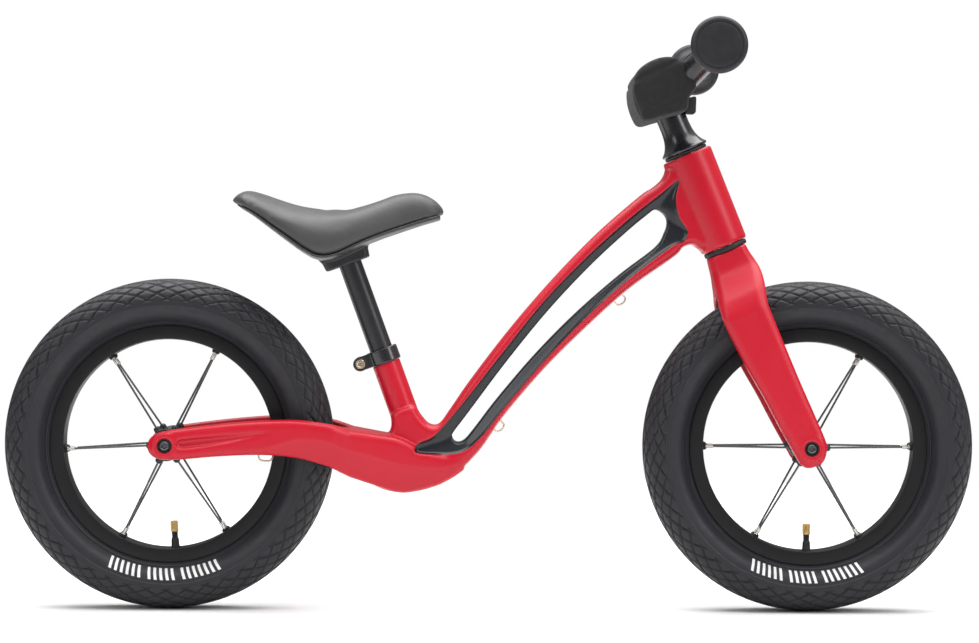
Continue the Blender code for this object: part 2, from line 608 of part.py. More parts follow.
fork = make("fork", loft([fork_ring(*station) for station in fork_stations()]), RED, steering)
for side in (-1, 1):
    join(fork, dropout_face(side, 0, 0, steering))
arch = [(DROPOUT_INNER, -30)]
for i in range(9):
    angle = math.pi * i / 8
    rise = TYRE_RADIUS - 20 + (20 + CROWN_CLEARANCE) * math.sin(angle)
    arch.append((DROPOUT_INNER * math.cos(angle), rise))
arch.append((-DROPOUT_INNER, -30))
gap = loft([[(x, y, z) for y, z in arch] for x in (-60, 60)])
cut(fork, make("wheel_gap_cutter", gap, RED, steering))
for side in (-1, 1):
    cut(fork, axle_hole(side, 0, 0, steering))
STEERER_LOW = TYRE_RADIUS + CROWN_CLEARANCE + 5.5
cut(fork, make("steerer_socket_cutter", rod(STEERER_RADIUS + GAP, STEERER_LOW, CROWN_TOP + 5, 20), RED,
               steering))
STEERER_TOP = STEM_FOOT + 32.5
steerer_bore = STEERER_RADIUS - 2.5
steerer = [(steerer_bore, STEERER_LOW + GAP), (STEERER_RADIUS, STEERER_LOW + GAP),
           (STEERER_RADIUS, STEERER_TOP), (4.3, STEERER_TOP), (4.3, STEERER_TOP - 15),
           (steerer_bore, STEERER_TOP - 19)]
make("steerer_tube", turned(steerer, 20), STEEL, steering)
axle("front_axle", front_wheel)
axle_bolt("front_axle_bolt_right", -1, front_wheel)
axle_bolt("front_axle_bolt_left", 1, front_wheel)


# ---- Handlebar

BEND_START = 22.0
BEND_END = 105.0


def bar_point(y):
    """Centre line of the handlebar: straight at the stem, then up and forward, then straight."""
    share = min(max((abs(y) - BEND_START) / (BEND_END - BEND_START), 0), 1)
    share = share * share * (3 - 2 * share)
    return Vector((BAR_FORWARD * share, y, BAR_HEIGHT + BAR_RISE * share))


def bar_rings(stations, grow, segments):
    """Round sections square to the centre line. The bar thins from its middle to the grips."""
    rings = []
    for y in stations:
        way = (bar_point(y + 0.5) - bar_point(y - 0.5)).normalized()
        side = way.cross(Vector((0, 0, 1))).normalized()
        up = side.cross(way)
        share = min(max((abs(y) - 80) / 20, 0), 1)
        radius = BAR_RADIUS + share * (GRIP_BAR_RADIUS - BAR_RADIUS) + grow
        rings.append([bar_point(y) + radius * (math.cos(a) * side + math.sin(a) * up)
                      for a in (2 * math.pi * i / segments for i in range(segments))])
    return rings


bends = [BEND_START + (BEND_END - BEND_START) * i / 7 for i in range(8)]
tip = BAR_END - 7
stations = [-tip] + [-y for y in reversed(bends)] + bends + [tip]
handlebar = make("handlebar", loft(bar_rings(stations, 0, 16)), BLACK_PAINT, steering)
flare = [(STEM_RADIUS + grow, STEM_FOOT + rise) for grow, rise in (
    (8.2, 0), (8.2, 2.2), (5.2, 5.5), (2.5, 10.5), (0.7, 17), (0, 25))]
flare = [(0, STEM_FOOT)] + flare + [(STEM_RADIUS, BAR_HEIGHT + 2), (0, BAR_HEIGHT + 2)]
join(handlebar, make("stem_guide", turned(flare, 20), BLACK_PAINT, steering))
stem_bore = [(0, STEM_FOOT - 5), (ROUND_STEERER, STEM_FOOT - 5), (ROUND_STEERER, STEERER_TOP + 1),
             (4.4, STEERER_TOP + 1), (4.4, BAR_HEIGHT + 2), (6.9, BAR_HEIGHT + 2),
             (6.9, BAR_HEIGHT + 30), (0, BAR_HEIGHT + 30)]
cut(handlebar, make("stem_bore_cutter", turned(stem_bore, 16), BLACK_PAINT, steering))
for side in (-1, 1):
    ends = sorted((side * (BEND_END + 4), side * (BAR_END + 5)))
    hollow = rod(GRIP_BAR_RADIUS - 1.8, *ends, 12, "Y", (BAR_FORWARD, 0, BAR_HEIGHT + BAR_RISE))
    cut(handlebar, make("bar_end_cutter", hollow, BLACK_PAINT, steering))
    name = "grip_left" if side > 0 else "grip_right"
    start = BAR_END - GRIP_LENGTH
    hole = GRIP_BAR_RADIUS + GAP
    sleeve = GRIP_BAR_RADIUS + 4.5
    profile = [(hole, start), (sleeve - 1, start), (sleeve, start + 2), (sleeve, BAR_END - 26),
               (sleeve + 1.4, BAR_END - 18), (GRIP_END_RADIUS - 3, BAR_END - 13),
               (GRIP_END_RADIUS, BAR_END - 10),
               (GRIP_END_RADIUS, BAR_END - 4), (GRIP_END_RADIUS - 2.6, BAR_END - 1), (12, BAR_END),
               (0, BAR_END), (0, tip + GAP), (hole, tip + GAP)]
    profile = [(r, side * y) for r, y in profile]
    make(name, turned(profile, 20, "Y", (BAR_FORWARD, 0, BAR_HEIGHT + BAR_RISE)), GRIP, steering)

stem_bolt = [(0, STEERER_TOP - 12), (4, STEERER_TOP - 12), (4, BAR_HEIGHT + 2 + GAP),
             (6.5, BAR_HEIGHT + 2 + GAP), (6.5, BAR_HEIGHT + 10), (3.4, BAR_HEIGHT + 10),
             (3.4, BAR_HEIGHT + 6), (0, BAR_HEIGHT + 6)]
make("stem_bolt", turned(stem_bolt, 12), STEEL, steering)

low = BAR_HEIGHT - 15.5
front = STEM_RADIUS
pad_outline = smooth([(-31, low + 2), (-31, low + 12), (-30.3, low + 28), (-26.5, low + 41),
                      (-17, low + 50.5), (0, low + 54), (16, low + 51), (27, low + 42),
                      (front + 16.7, low + 28), (front + 16.2, low + 15), (front + 11.7, low + 9.8),
                      (front + 5, low + 8.6), (front + 1.1, low), (front - 1.3, low - 4),
                      (0, low - 2.2), (-16, low)], 2, closed=True)
pad = make("handlebar_pad", slab(pad_outline, [
    (-PAD_HALF_WIDTH, 3), (4 - PAD_HALF_WIDTH, 0), (PAD_HALF_WIDTH - 4, 0), (PAD_HALF_WIDTH, 3)]),
    FABRIC, steering)
reach = [-90] + [-y for y in reversed(bends[:6])] + bends[:6] + [90]
cut(pad, make("pad_bar_cutter", loft(bar_rings(reach, 0.4, 16)), FABRIC, steering))
cut(pad, make("pad_stem_cutter", rod(STEM_RADIUS + 0.4, low - 20, BAR_HEIGHT + 2.5, 20), FABRIC, steering))
strap = slab(rounded([(front + 5.5, low + 8.5, 1), (front + 0.1, low - 3.9, 2),
                      (front + 7.6, low - 7.3, 2.5), (front + 14.5, low + 7.3, 2.5)]), [(-12, 0), (12, 0)])
make("pad_strap", strap, FABRIC, steering)


# ---- Wheels

def tyre_profile():
    """Closed C-shaped section of the tyre, as (radius, across)."""
    half = TYRE_WIDTH / 2
    seat = RIM_FLANGE_RADIUS - 4.8
    bead = RIM_WIDTH / 2 - 2.3
    crown = TYRE_RADIUS
    side = [(crown - 1.8, 0.42 * half), (crown - 9, 0.82 * half), (crown - 20, half),
            (seat + 15, 0.88 * half), (seat + 6.5, bead + 0.5), (seat, bead - 0.4), (seat, bead - 3.4),
            (seat + 8, bead - 2), (seat + 17, 0.72 * half), (crown - 20, 0.87 * half),
            (crown - 8, 0.48 * half)]
    return [(crown, 0)] + side + [(crown - 5.5, 0)] + [(r, -y) for r, y in reversed(side)]


def rim_profile():
    half = RIM_WIDTH / 2
    inner = RIM_INNER_RADIUS
    flange = RIM_FLANGE_RADIUS
    side = [(inner, half - 1.8), (inner + 2.5, half), (flange, half), (flange, half - 1.7),
            (flange - 5.4, half - 1.7), (flange - 5.4, half - 5.8), (inner + 4, 6)]
    return side + [(r, -y) for r, y in reversed(side)]


def hub_profile():
    """Hub shell with a flange and a bearing seat at each end."""
    end = HUB_HALF_LENGTH
    bearing = HUB_BEARING_RADIUS + GAP
    flange = HUB_FLANGE_SPREAD
    side = [(6, end - 8.3), (bearing, end - 8.3), (bearing, end), (15.6, end), (15.6, flange + 3),
            (HUB_FLANGE_RADIUS, flange + 2), (HUB_FLANGE_RADIUS, flange - 2), (11, flange - 5)]
    return side + [(r, -y) for r, y in reversed(side)]


def spun(shape, segments):
    """Section spun about Y with a point on each axis of the side view."""
    rings = []
    for i in range(segments):
        angle = 2 * math.pi * i / segments
        rings.append([(r * math.cos(angle), y, r * math.sin(angle)) for r, y in shape])
    return loft(rings, closed=True)


def wheel(end, turn, parent):
    """Rim, tyre, tube, hub, bearings, spokes and valve of one wheel about its axle."""
    valve_angle = math.radians(270 + turn)
    outward = Vector((math.cos(valve_angle), 0, math.sin(valve_angle)))

    def valve_rod(name, radius, low, high, segments, look):
        bm = rod(radius, low, high, segments)
        bmesh.ops.rotate(bm, verts=bm.verts, matrix=outward.to_track_quat("Z", "Y").to_matrix())
        return make(name, bm, look, parent)

    make(f"{end}_tyre", spun(tyre_profile(), 32), TYRE, parent)
    rim = make(f"{end}_rim", spun(rim_profile(), 32), SATIN_BLACK, parent)
    cut(rim, valve_rod("valve_hole_cutter", VALVE_RADIUS + 0.5, RIM_INNER_RADIUS - 5,
                       RIM_FLANGE_RADIUS, 12, SATIN_BLACK))
    make(f"{end}_hub", spun(hub_profile(), 20), SATIN_BLACK, parent)
    for name, side in (("right", -1), ("left", 1)):
        near, far = sorted((side * (HUB_HALF_LENGTH - 8), side * HUB_HALF_LENGTH))
        hole = AXLE_DIAMETER / 2 + GAP
        make(f"{end}_bearing_{name}", spun([(hole, near), (HUB_BEARING_RADIUS, near),
                                            (HUB_BEARING_RADIUS, far), (hole, far)], 16), STEEL, parent)

    crown = TYRE_RADIUS
    half = TYRE_WIDTH / 2
    bed = RIM_FLANGE_RADIUS - 3
    outer = [(crown - 8, 0), (crown - 10.5, 0.4 * half), (crown - 21, 0.77 * half), (bed + 12, 0.34 * half),
             (bed + 1, 0.16 * half)]
    shell = spun(outer + [(r, -y) for r, y in reversed(outer[1:])], 20)
    tube = make(f"{end}_inner_tube", shell, TUBE, parent)
    hollow = [(crown - 10, 0), (crown - 12.5, 0.36 * half), (crown - 21, 0.68 * half),
              (bed + 13, 0.26 * half), (bed + 3, 0.1 * half)]
    stem_low = RIM_INNER_RADIUS - VALVE_EXPOSED
    join(tube, valve_rod("valve_guide", VALVE_RADIUS, stem_low, bed + 5, 12, TUBE))
    cut(tube, make("tube_air_cutter", spun(hollow + [(r, -y) for r, y in reversed(hollow[1:])], 20),
                   TUBE, parent))
    cut(tube, valve_rod("valve_bore_cutter", 1.4, stem_low - 5, bed + 8, 8, TUBE))
    cap_high = stem_low - GAP
    valve_rod(f"{end}_valve_cap", VALVE_RADIUS, cap_high - VALVE_CAP_LENGTH, cap_high, 12, BRASS)

    number = 0
    for i in range(SPOKE_ANGLES):
        angle = math.radians(turn + 360 * i / SPOKE_ANGLES)
        ray = Vector((math.cos(angle), 0, math.sin(angle)))
        for side in (-1, 1):
            number += 1
            low = ray * (HUB_FLANGE_RADIUS + 0.5) + Vector((0, side * HUB_FLANGE_SPREAD, 0))
            high = ray * (RIM_INNER_RADIUS - 0.8) + Vector((0, side * 5, 0))
            bm = rod(SPOKE_DIAMETER / 2, 0, (high - low).length, 6)
            bmesh.ops.rotate(bm, verts=bm.verts, matrix=(high - low).to_track_quat("Z", "Y").to_matrix())
            spoke = make(f"{end}_spoke_{number:02d}", bm, STEEL, parent)
            spoke.location = low * MM


wheel("front", 0.0, front_wheel)
wheel("rear", REAR_SPOKE_TURN, rear_wheel)
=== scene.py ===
"""Balance bike: detailed pieces, materials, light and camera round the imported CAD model.

Shapes are worked out in millimetres in the object's own frame and written in metres.
"""

import math

import bmesh
import bpy
import numpy as np
from mathutils import Matrix, Quaternion, Vector


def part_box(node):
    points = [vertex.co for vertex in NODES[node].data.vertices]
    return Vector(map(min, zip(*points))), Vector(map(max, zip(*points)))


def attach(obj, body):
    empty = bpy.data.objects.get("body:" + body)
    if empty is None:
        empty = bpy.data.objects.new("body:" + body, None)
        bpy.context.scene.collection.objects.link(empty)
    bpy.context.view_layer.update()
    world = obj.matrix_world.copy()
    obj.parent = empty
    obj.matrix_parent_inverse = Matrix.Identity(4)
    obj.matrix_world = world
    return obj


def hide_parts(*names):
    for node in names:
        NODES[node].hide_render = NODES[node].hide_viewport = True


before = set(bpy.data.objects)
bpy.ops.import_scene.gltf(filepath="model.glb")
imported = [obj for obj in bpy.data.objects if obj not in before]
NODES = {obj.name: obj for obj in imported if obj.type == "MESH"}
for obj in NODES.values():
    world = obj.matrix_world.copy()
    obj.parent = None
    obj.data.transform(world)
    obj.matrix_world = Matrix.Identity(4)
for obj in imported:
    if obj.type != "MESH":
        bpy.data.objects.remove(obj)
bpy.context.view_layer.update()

MM = 0.001


# ---- Reference frames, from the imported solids

def centre_of(node):
    low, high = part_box(node)
    return (low + high) / (2 * MM)


FRONT_HUB = centre_of("front_hub")
REAR_HUB = centre_of("rear_hub")
HUB_Z = FRONT_HUB.z
TYRE_RADIUS = (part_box("front_tyre")[1].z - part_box("front_tyre")[0].z) / (2 * MM)
BAR_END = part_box("grip_left")[1].y / MM
FOOT = Vector((REAR_HUB.x + TYRE_RADIUS + 82, HUB_Z - 9))
LEAN = math.radians(22.8)
SEAT_LEAN = math.radians(20.1)
CROWN_TOP = TYRE_RADIUS + 45
HEAD_LOW = CROWN_TOP + 5
HEAD_HIGH = HEAD_LOW + 95.5
STEM_FOOT = HEAD_HIGH + 3.8
BAR_HEIGHT = STEM_FOOT + 52.7
HEAD_RADIUS = 23.9
CLAMP_LOW = -3.3
CLAMP_HEIGHT = 14.3
CLAMP_EAR = -23.5
POST_RADIUS = 11.1
BASE_LOW = CLAMP_LOW + CLAMP_HEIGHT + 88
SEAT_TUBE_LENGTH = 96.7
STEER = Matrix.Translation(FRONT_HUB) @ Matrix.Rotation(-LEAN, 4, "Y")
SEAT_TOP = Vector((FOOT.x - SEAT_TUBE_LENGTH * math.sin(SEAT_LEAN), 0,
    FOOT.y + SEAT_TUBE_LENGTH * math.cos(SEAT_LEAN)))
SEAT = Matrix.Translation(SEAT_TOP) @ Matrix.Rotation(-SEAT_LEAN, 4, "Y")
WHEELS = {"front": (Matrix.Translation(FRONT_HUB), 0.0), "rear": (Matrix.Translation(REAR_HUB), 3.3)}


def steering_point(across, along):
    point = STEER @ Vector((across, 0, along))
    return point.x, point.z


def seat_point(across, along):
    point = SEAT @ Vector((across, 0, along))
    return point.x, point.z


def beam_point(share, off):
    head = Vector(steering_point(0, (HEAD_LOW + HEAD_HIGH) / 2))
    way = (head - FOOT).normalized()
    point = FOOT.lerp(head, share) + off * Vector((-way.y, way.x))
    return point.x, point.y


def foot_point(x, z):
    return FOOT.x + x, FOOT.y + z


def each(place, pairs):
    return [place(*pair) for pair in pairs]


def raised(base, profile):
    """(radius, height) profile with its heights counted from base."""
    return [(radius, base + height) for radius, height in profile]


# ---- Curves

def smooth(points, steps, closed=False):
    """Catmull-Rom curve through points of any dimension."""
    count = len(points)
    curve = []
    for i in range(count if closed else count - 1):
        if closed:
            four = [points[(i + k - 1) % count] for k in range(4)]
        else:
            four = [points[min(max(i + k - 1, 0), count - 1)] for k in range(4)]
        for step in range(steps):
            t = step / steps
            curve.append(tuple(0.5 * (2 * b + (c - a) * t + (2 * a - 5 * b + 4 * c - d) * t * t + (3 * b - a
                - 3 * c + d) * t ** 3) for a, b, c, d in zip(*four)))
    if not closed:
        curve.append(tuple(points[-1]))
    return curve


def rounded(corners, steps=5):
    """Polygon of (x, y, radius) corners with each corner drawn as a curve."""
    points = []
    for i, (x, y, radius) in enumerate(corners):
        corner = Vector((x, y))
        before = Vector(corners[i - 1][:2]) - corner
        after = Vector(corners[(i + 1) % len(corners)][:2]) - corner
        start = corner + before.normalized() * min(radius, 0.45 * before.length)
        end = corner + after.normalized() * min(radius, 0.45 * after.length)
        for k in range(steps):
            t = k / (steps - 1)
            points.append((1 - t) ** 2 * start + 2 * t * (1 - t) * corner + t * t * end)
    return [(point.x, point.y) for point in points]


def inset(outline, distance):
    """Closed outline moved inwards, each point along its own normal."""
    area = sum(a[0] * b[1] - b[0] * a[1] for a, b in zip(outline, outline[1:] + outline[:1]))
    side = math.copysign(distance, area)
    moved = []
    for i, (x, y) in enumerate(outline):
        way = (Vector(outline[(i + 1) % len(outline)]) - Vector(outline[i - 1])).normalized()
        moved.append((x - side * way.y, y + side * way.x))
    return moved


def angles(count):
    return [2 * math.pi * k / count for k in range(count)]


def mirrored(half):
    """Half a section as (radius, across), with the other side added in reverse."""
    return [*half, *((r, -y) for r, y in reversed(half))]


def ease(value, low, high):
    """Smooth step from 0 at low to 1 at high, for a number or an array."""
    t = np.clip((value - low) / (high - low), 0, 1)
    return t * t * (3 - 2 * t)


# ---- Meshes, as (points, faces)

def loft(rings, closed=False):
    """Skin over rings of points, with flat ends unless it closes on itself."""
    size = len(rings[0])
    points = [tuple(point) for ring in rings for point in ring]
    faces = []
    for a in range(len(rings) if closed else len(rings) - 1):
        b = (a + 1) % len(rings)
        for i in range(size):
            j = (i + 1) % size
            faces.append((a * size + i, a * size + j, b * size + j, b * size + i))
    if not closed:
        faces.append(tuple(range(size))[::-1])
        last = (len(rings) - 1) * size
        faces.append(tuple(range(last, last + size)))
    return points, faces


def turned(profile, segments, along="Z", centre=(0, 0, 0), hexagon=()):
    """(radius, height) profile spun about an axis. Profile points numbered in hexagon are six-sided."""
    rings = []
    open_profile = profile[0][0] == 0
    shape = profile[1:-1] if open_profile else profile
    first = 1 if open_profile else 0
    for index, (radius, height) in enumerate(shape, first):
        ring = []
        for angle in angles(segments):
            reach = radius
            if index in hexagon:
                reach = radius / math.cos((angle + math.pi / 6) % (math.pi / 3) - math.pi / 6)
            x, y = reach * math.cos(angle), reach * math.sin(angle)
            ring.append((x, height, -y) if along == "Y" else (x, y, height))
        rings.append([(x + centre[0], y + centre[1], z + centre[2]) for x, y, z in ring])
    return loft(rings, closed=not open_profile)


def rod(radius, low, high, segments=48, along="Z", centre=(0, 0, 0)):
    return turned([(0, low), (radius, low), (radius, high), (0, high)], segments, along, centre)


def box(low, high):
    (x0, y0, z0), (x1, y1, z1) = low, high
    return loft([[(x0, y0, z), (x1, y0, z), (x1, y1, z), (x0, y1, z)] for z in (z0, z1)])


def placed(shape, matrix):
    points, faces = shape
    return [tuple(matrix @ Vector(point)) for point in points], faces


def merged(shapes):
    points, faces = [], []
    for some, own in shapes:
        start = len(points)
        points += some
        faces += [tuple(start + i for i in face) for face in own]
    return points, faces


def mesh_of(name, shape, sharp=35):
    """Mesh in metres with its faces turned outwards."""
    points, faces = shape
    mesh = bpy.data.meshes.new(name)
    mesh.from_pydata((np.array(points, float) * MM).tolist(), [], [list(face) for face in faces])
    bm = bmesh.new()
    bm.from_mesh(mesh)
    bmesh.ops.recalc_face_normals(bm, faces=bm.faces)
    bm.to_mesh(mesh)
    bm.free()
    mesh.shade_smooth()
    if sharp:
        mesh.set_sharp_from_angle(angle=math.radians(sharp))
    return mesh


def linked(name, data):
    made = bpy.data.objects.new(name, data)
    bpy.context.scene.collection.objects.link(made)
    return made


def temporary(shape):
    return linked("temporary", mesh_of("temporary", shape, 0))


def evaluated(thing):
    """The object's mesh with its modifiers applied, and the object removed."""
    graph = bpy.context.evaluated_depsgraph_get()
    mesh = bpy.data.meshes.new_from_object(thing.evaluated_get(graph))
    bpy.data.objects.remove(thing, do_unlink=True)
    return mesh


def voxel_skin(thing, pitch):
    skin = thing.modifiers.new("skin", "REMESH")
    skin.mode = "VOXEL"
    skin.voxel_size = pitch * MM


def eased(thing, passes):
    change = thing.modifiers.new("ease", "SMOOTH")
    change.factor = 0.5
    change.iterations = passes


def coordinates(mesh):
    values = np.empty(len(mesh.vertices) * 3, np.float32)
    mesh.vertices.foreach_get("co", values)
    return values.reshape(-1, 3)


def fused(shapes, cutters, pitch, passes, name):
    """One smooth casting: shells with pieces cut out, joined through a fine voxel skin."""
    tools = [temporary(cutter) for cutter in cutters]
    bm = bmesh.new()
    for shape in shapes:
        part = temporary(shape)
        for tool in tools:
            change = part.modifiers.new("cut", "BOOLEAN")
            change.operation = "DIFFERENCE"
            change.solver = "EXACT"
            change.object = tool
        mesh = evaluated(part)
        bm.from_mesh(mesh)
        bpy.data.meshes.remove(mesh)
    for tool in tools:
        bpy.data.objects.remove(tool, do_unlink=True)
    mesh = bpy.data.meshes.new(name)
    bm.to_mesh(mesh)
    bm.free()
    whole = linked(name, mesh)
    voxel_skin(whole, pitch * (1))
    eased(whole, passes)
    made = evaluated(whole)
    made.name = name
    made.shade_smooth()
    return made


def piece(name, mesh, look, body, replaces=(), matrix=None):
    """Shown object on a CAD body."""
    if isinstance(mesh, tuple):
        mesh = mesh_of(name, mesh)
    mesh.materials.clear()
    mesh.materials.append(look)
    made = linked(name, mesh)
    if matrix is not None:
        made.matrix_world = matrix
    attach(made, body)
    if replaces:
        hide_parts(*replaces)
    return made


# ---- Materials

class Nodes:
    """Short ways to add and link nodes."""

    def __init__(self, tree):
        self.nodes, self.links = tree.nodes, tree.links

    def plug(self, value, socket):
        if isinstance(value, bpy.types.NodeSocket):
            self.links.new(value, socket)
        else:
            socket.default_value = value

    def add(self, kind, inputs=(), **fields):
        node = self.nodes.new(kind)
        for key, value in fields.items():
            setattr(node, key, value)
        for key, value in dict(inputs).items():
            self.plug(value, node.inputs[key])
        return node

    def sum(self, kind, first, second):
        return self.add("ShaderNodeMath", {0: first, 1: second}, operation=kind).outputs[0]

    def spread(self, value, low, high, start=0.3, end=0.7):
        return self.add("ShaderNodeMapRange", {"Value": value, "From Min": start, "From Max": end,
            "To Min": low, "To Max": high}).outputs[0]


class Look(Nodes):
    """A Principled material."""

    def __init__(self, name, roughness, metallic=0.0, **settings):
        self.material = bpy.data.materials.new(name)
        self.material.use_nodes = True
        super().__init__(self.material.node_tree)
        self.shader = self.nodes["Principled BSDF"]
        settings = {"Roughness": roughness, "Metallic": metallic, **settings}
        for key, value in settings.items():
            self.shader.inputs[key.replace("_", " ")].default_value = value
        self.place = self.nodes.new("ShaderNodeTexCoord").outputs["Object"]

    def noise(self, scale, detail=3.0, roughness=0.5, stretch=(1, 1, 1)):
        place = self.add("ShaderNodeMapping", {"Vector": self.place, "Scale": stretch}).outputs[0]
        return self.add("ShaderNodeTexNoise", {"Vector": place, "Scale": scale, "Detail": detail,
            "Roughness": roughness}).outputs["Fac"]

    def mix(self, share, first, second):
        first, second = [value if isinstance(value, bpy.types.NodeSocket) else (*value,
            1) for value in (first, second)]
        return self.add("ShaderNodeMix", {0: share, 6: first, 7: second}, data_type="RGBA").outputs[2]

    def colour(self, value):
        self.links.new(value, self.shader.inputs["Base Color"])

    def roughness(self, value):
        self.links.new(value, self.shader.inputs["Roughness"])

    def bump(self, heights):
        """heights: (value, strength, distance in metres) from the coarsest to the finest."""
        normal = None
        for value, strength, distance in heights:
            inputs = {"Height": value, "Strength": strength, "Distance": distance}
            if normal is not None:
                inputs["Normal"] = normal
            normal = self.add("ShaderNodeBump", inputs).outputs[0]
        self.links.new(normal, self.shader.inputs["Normal"])

    def worn(self, colour, lighter, strength=0.5):
        """Colour a little lighter along outward edges."""
        edge = self.add("ShaderNodeNewGeometry").outputs["Pointiness"]
        patchy = self.spread(self.noise(90, 4), 0.2, 1.0)
        share = self.spread(edge, 0, strength, 0.53, 0.62)
        return self.mix(self.sum("MULTIPLY", share, patchy), colour, lighter)


def shade(colour, factor):
    return tuple(channel * factor for channel in colour)


def plain_look(name, colour, roughness, metallic=0.0, grain=900, depth=4e-5, lighter=None, variation=0.12,
        **settings):
    """Coated or moulded surface: soft colour drift, uneven gloss, fine grain and worn edges."""
    look = Look(name, roughness, metallic, **settings)
    drift = look.mix(look.noise(14, 3), shade(colour, 1 - variation), shade(colour, 1 + variation))
    look.colour(look.worn(drift, lighter or shade(colour, 1.8), 0.35))
    look.roughness(look.spread(look.noise(60, 4), roughness * 0.88, min(1, roughness * 1.14)))
    look.bump([(look.noise(grain, 2), 0.35, depth)])
    return look.material


def red_and_black():
    """Satin red with the recess in gloss black, by the mesh's distance from the recess edge."""
    look = Look("frame_paint", 0.42, 0.0, Specular_IOR_Level=0.32, Coat_Weight=0.12, Coat_Roughness=0.3)
    red = look.mix(look.noise(9, 2), RED_DEEP, RED_LIGHT)
    black = look.mix(look.noise(30, 3), (0.012, 0.013, 0.017), (0.019, 0.020, 0.026))
    edge = look.add("ShaderNodeAttribute", attribute_name="recess").outputs["Fac"]
    inside = look.spread(edge, 1, 0, -2.5e-4, 2.5e-4)
    look.colour(look.mix(inside, red, black))
    look.roughness(look.add("ShaderNodeMix", {0: inside, 2: look.spread(look.noise(70, 3), 0.33, 0.41),
        3: 0.16}).outputs[0])
    look.bump([(look.noise(1500, 2), 0.25, 2e-5)])
    return look.material


RED_DEEP = (0.46, 0.0035, 0.017)
RED_LIGHT = (0.52, 0.0045, 0.021)
FRAME_PAINT = red_and_black()
RED_PAINT = plain_look("red_paint_look", (0.49, 0.004, 0.019), 0.42, grain=1500, depth=2e-5, lighter=(0.55,
    0.012, 0.03), variation=0.05, Specular_IOR_Level=0.32, Coat_Weight=0.12, Coat_Roughness=0.3)
GLOSS_BLACK = plain_look("gloss_black", (0.011, 0.011, 0.014), 0.26, grain=700, depth=1e-5, Coat_Weight=0.4,
    Coat_Roughness=0.16)
SATIN_BLACK = plain_look("satin_black_look", (0.020, 0.020, 0.023), 0.36, 0.25, grain=1800, depth=2e-5)
RIM_BLACK = plain_look("rim_black", (0.006, 0.006, 0.007), 0.45, grain=1800, depth=2e-5, lighter=(0.07,
    0.07, 0.075), Specular_IOR_Level=0.25)
HUB_BLACK = plain_look("hub_black", (0.010, 0.010, 0.012), 0.38, 0.2, grain=1500, depth=3e-5)
SEAL = plain_look("seal_rubber", (0.010, 0.010, 0.010), 0.6)
BOLT_BLACK = plain_look("bolt_black", (0.10, 0.105, 0.11), 0.3, 0.9, grain=1200, depth=2e-5, lighter=(0.2,
    0.2, 0.2))
STEEL = plain_look("bright_steel", (0.52, 0.50, 0.47), 0.28, 1.0, grain=1500, depth=2e-5)
SPOKE_STEEL = plain_look("spoke_steel", (0.085, 0.083, 0.083), 0.35, 1.0, grain=1500, depth=1e-5)
BOLT_BRONZE = plain_look("plated_bolt", (0.60, 0.50, 0.38), 0.30, 1.0, grain=1300, depth=2e-5)
BRASS = plain_look("brass_look", (0.62, 0.42, 0.17), 0.33, 1.0, grain=1400, depth=3e-5)
PLASTIC = plain_look("base_plastic", (0.016, 0.016, 0.018), 0.42, grain=2600, depth=5e-5, lighter=(0.16,
    0.16, 0.165))


def rubber(name, colour, roughness, dust, shaded_grooves=False):
    look = Look(name, roughness, 0.0, Specular_IOR_Level=0.4)
    drift = look.worn(look.mix(look.noise(22, 4), shade(colour, 0.82), shade(colour, 1.2)), dust, 0.55)
    if shaded_grooves:
        # Painted shade: the groove mask darkens the rubber inside the tread grooves to a quarter of its
        # colour.
        depth = look.add("ShaderNodeAttribute", attribute_name="groove").outputs["Fac"]
        drift = look.mix(depth, drift, shade(colour, 0.25))
    look.colour(drift)
    look.roughness(look.spread(look.noise(120, 4), roughness - 0.07, roughness + 0.09))
    look.bump([(look.noise(260, 3), 0.2, 1e-4), (look.noise(2400, 2), 0.3, 4e-5)])
    return look.material


# The last argument turns on the painted shade in the tread grooves.
TYRE_RUBBER = rubber("tyre_look", (0.0125, 0.0125, 0.0165), 0.5, (0.055, 0.055, 0.062), True)
VALVE_RUBBER = rubber("valve_rubber", (0.012, 0.012, 0.013), 0.55, (0.04, 0.04, 0.04))
GRIP_RUBBER = rubber("grip_look", (0.018, 0.018, 0.021), 0.46, (0.07, 0.07, 0.075))
MARK_WHITE = plain_look("printed_white", (0.62, 0.62, 0.62), 0.6, grain=1200, depth=3e-5, variation=0.1)


def woven(name, colour, thread, sheen):
    """Plain weave from two crossed sets of threads, with lint and soft folds of tone."""
    look = Look(name, 0.92, 0.0, Sheen_Weight=sheen, Sheen_Roughness=0.5, Specular_IOR_Level=0.25)
    turned_place = look.add("ShaderNodeMapping", {"Vector": look.place, "Rotation": (0, LEAN, 0)}).outputs[0]
    waves = []
    for axis in ("X", "Y", "Z"):
        waves.append(look.add("ShaderNodeTexWave", {"Vector": turned_place, "Scale": thread,
            "Distortion": 0.6, "Detail": 1.0}, wave_type="BANDS", bands_direction=axis).outputs["Fac"])
    weave = look.sum("ADD", look.sum("MULTIPLY", waves[0], waves[1]), waves[2])
    tone = look.mix(look.spread(weave, 0, 1, 0.2, 1.4), shade(colour, 0.72), shade(colour, 1.25))
    lint = look.spread(look.noise(700, 4), 0, 0.35, 0.62, 0.8)
    tone = look.mix(lint, tone, shade(colour, 2.4))
    look.colour(look.mix(look.spread(look.noise(25, 3), 0, 0.5), tone, shade(colour, 0.75)))
    look.roughness(look.spread(look.noise(200, 3), 0.86, 0.97))
    look.bump([(look.noise(60, 3), 0.25, 0.0006), (weave, 0.5, 1.8e-4)])
    return look.material


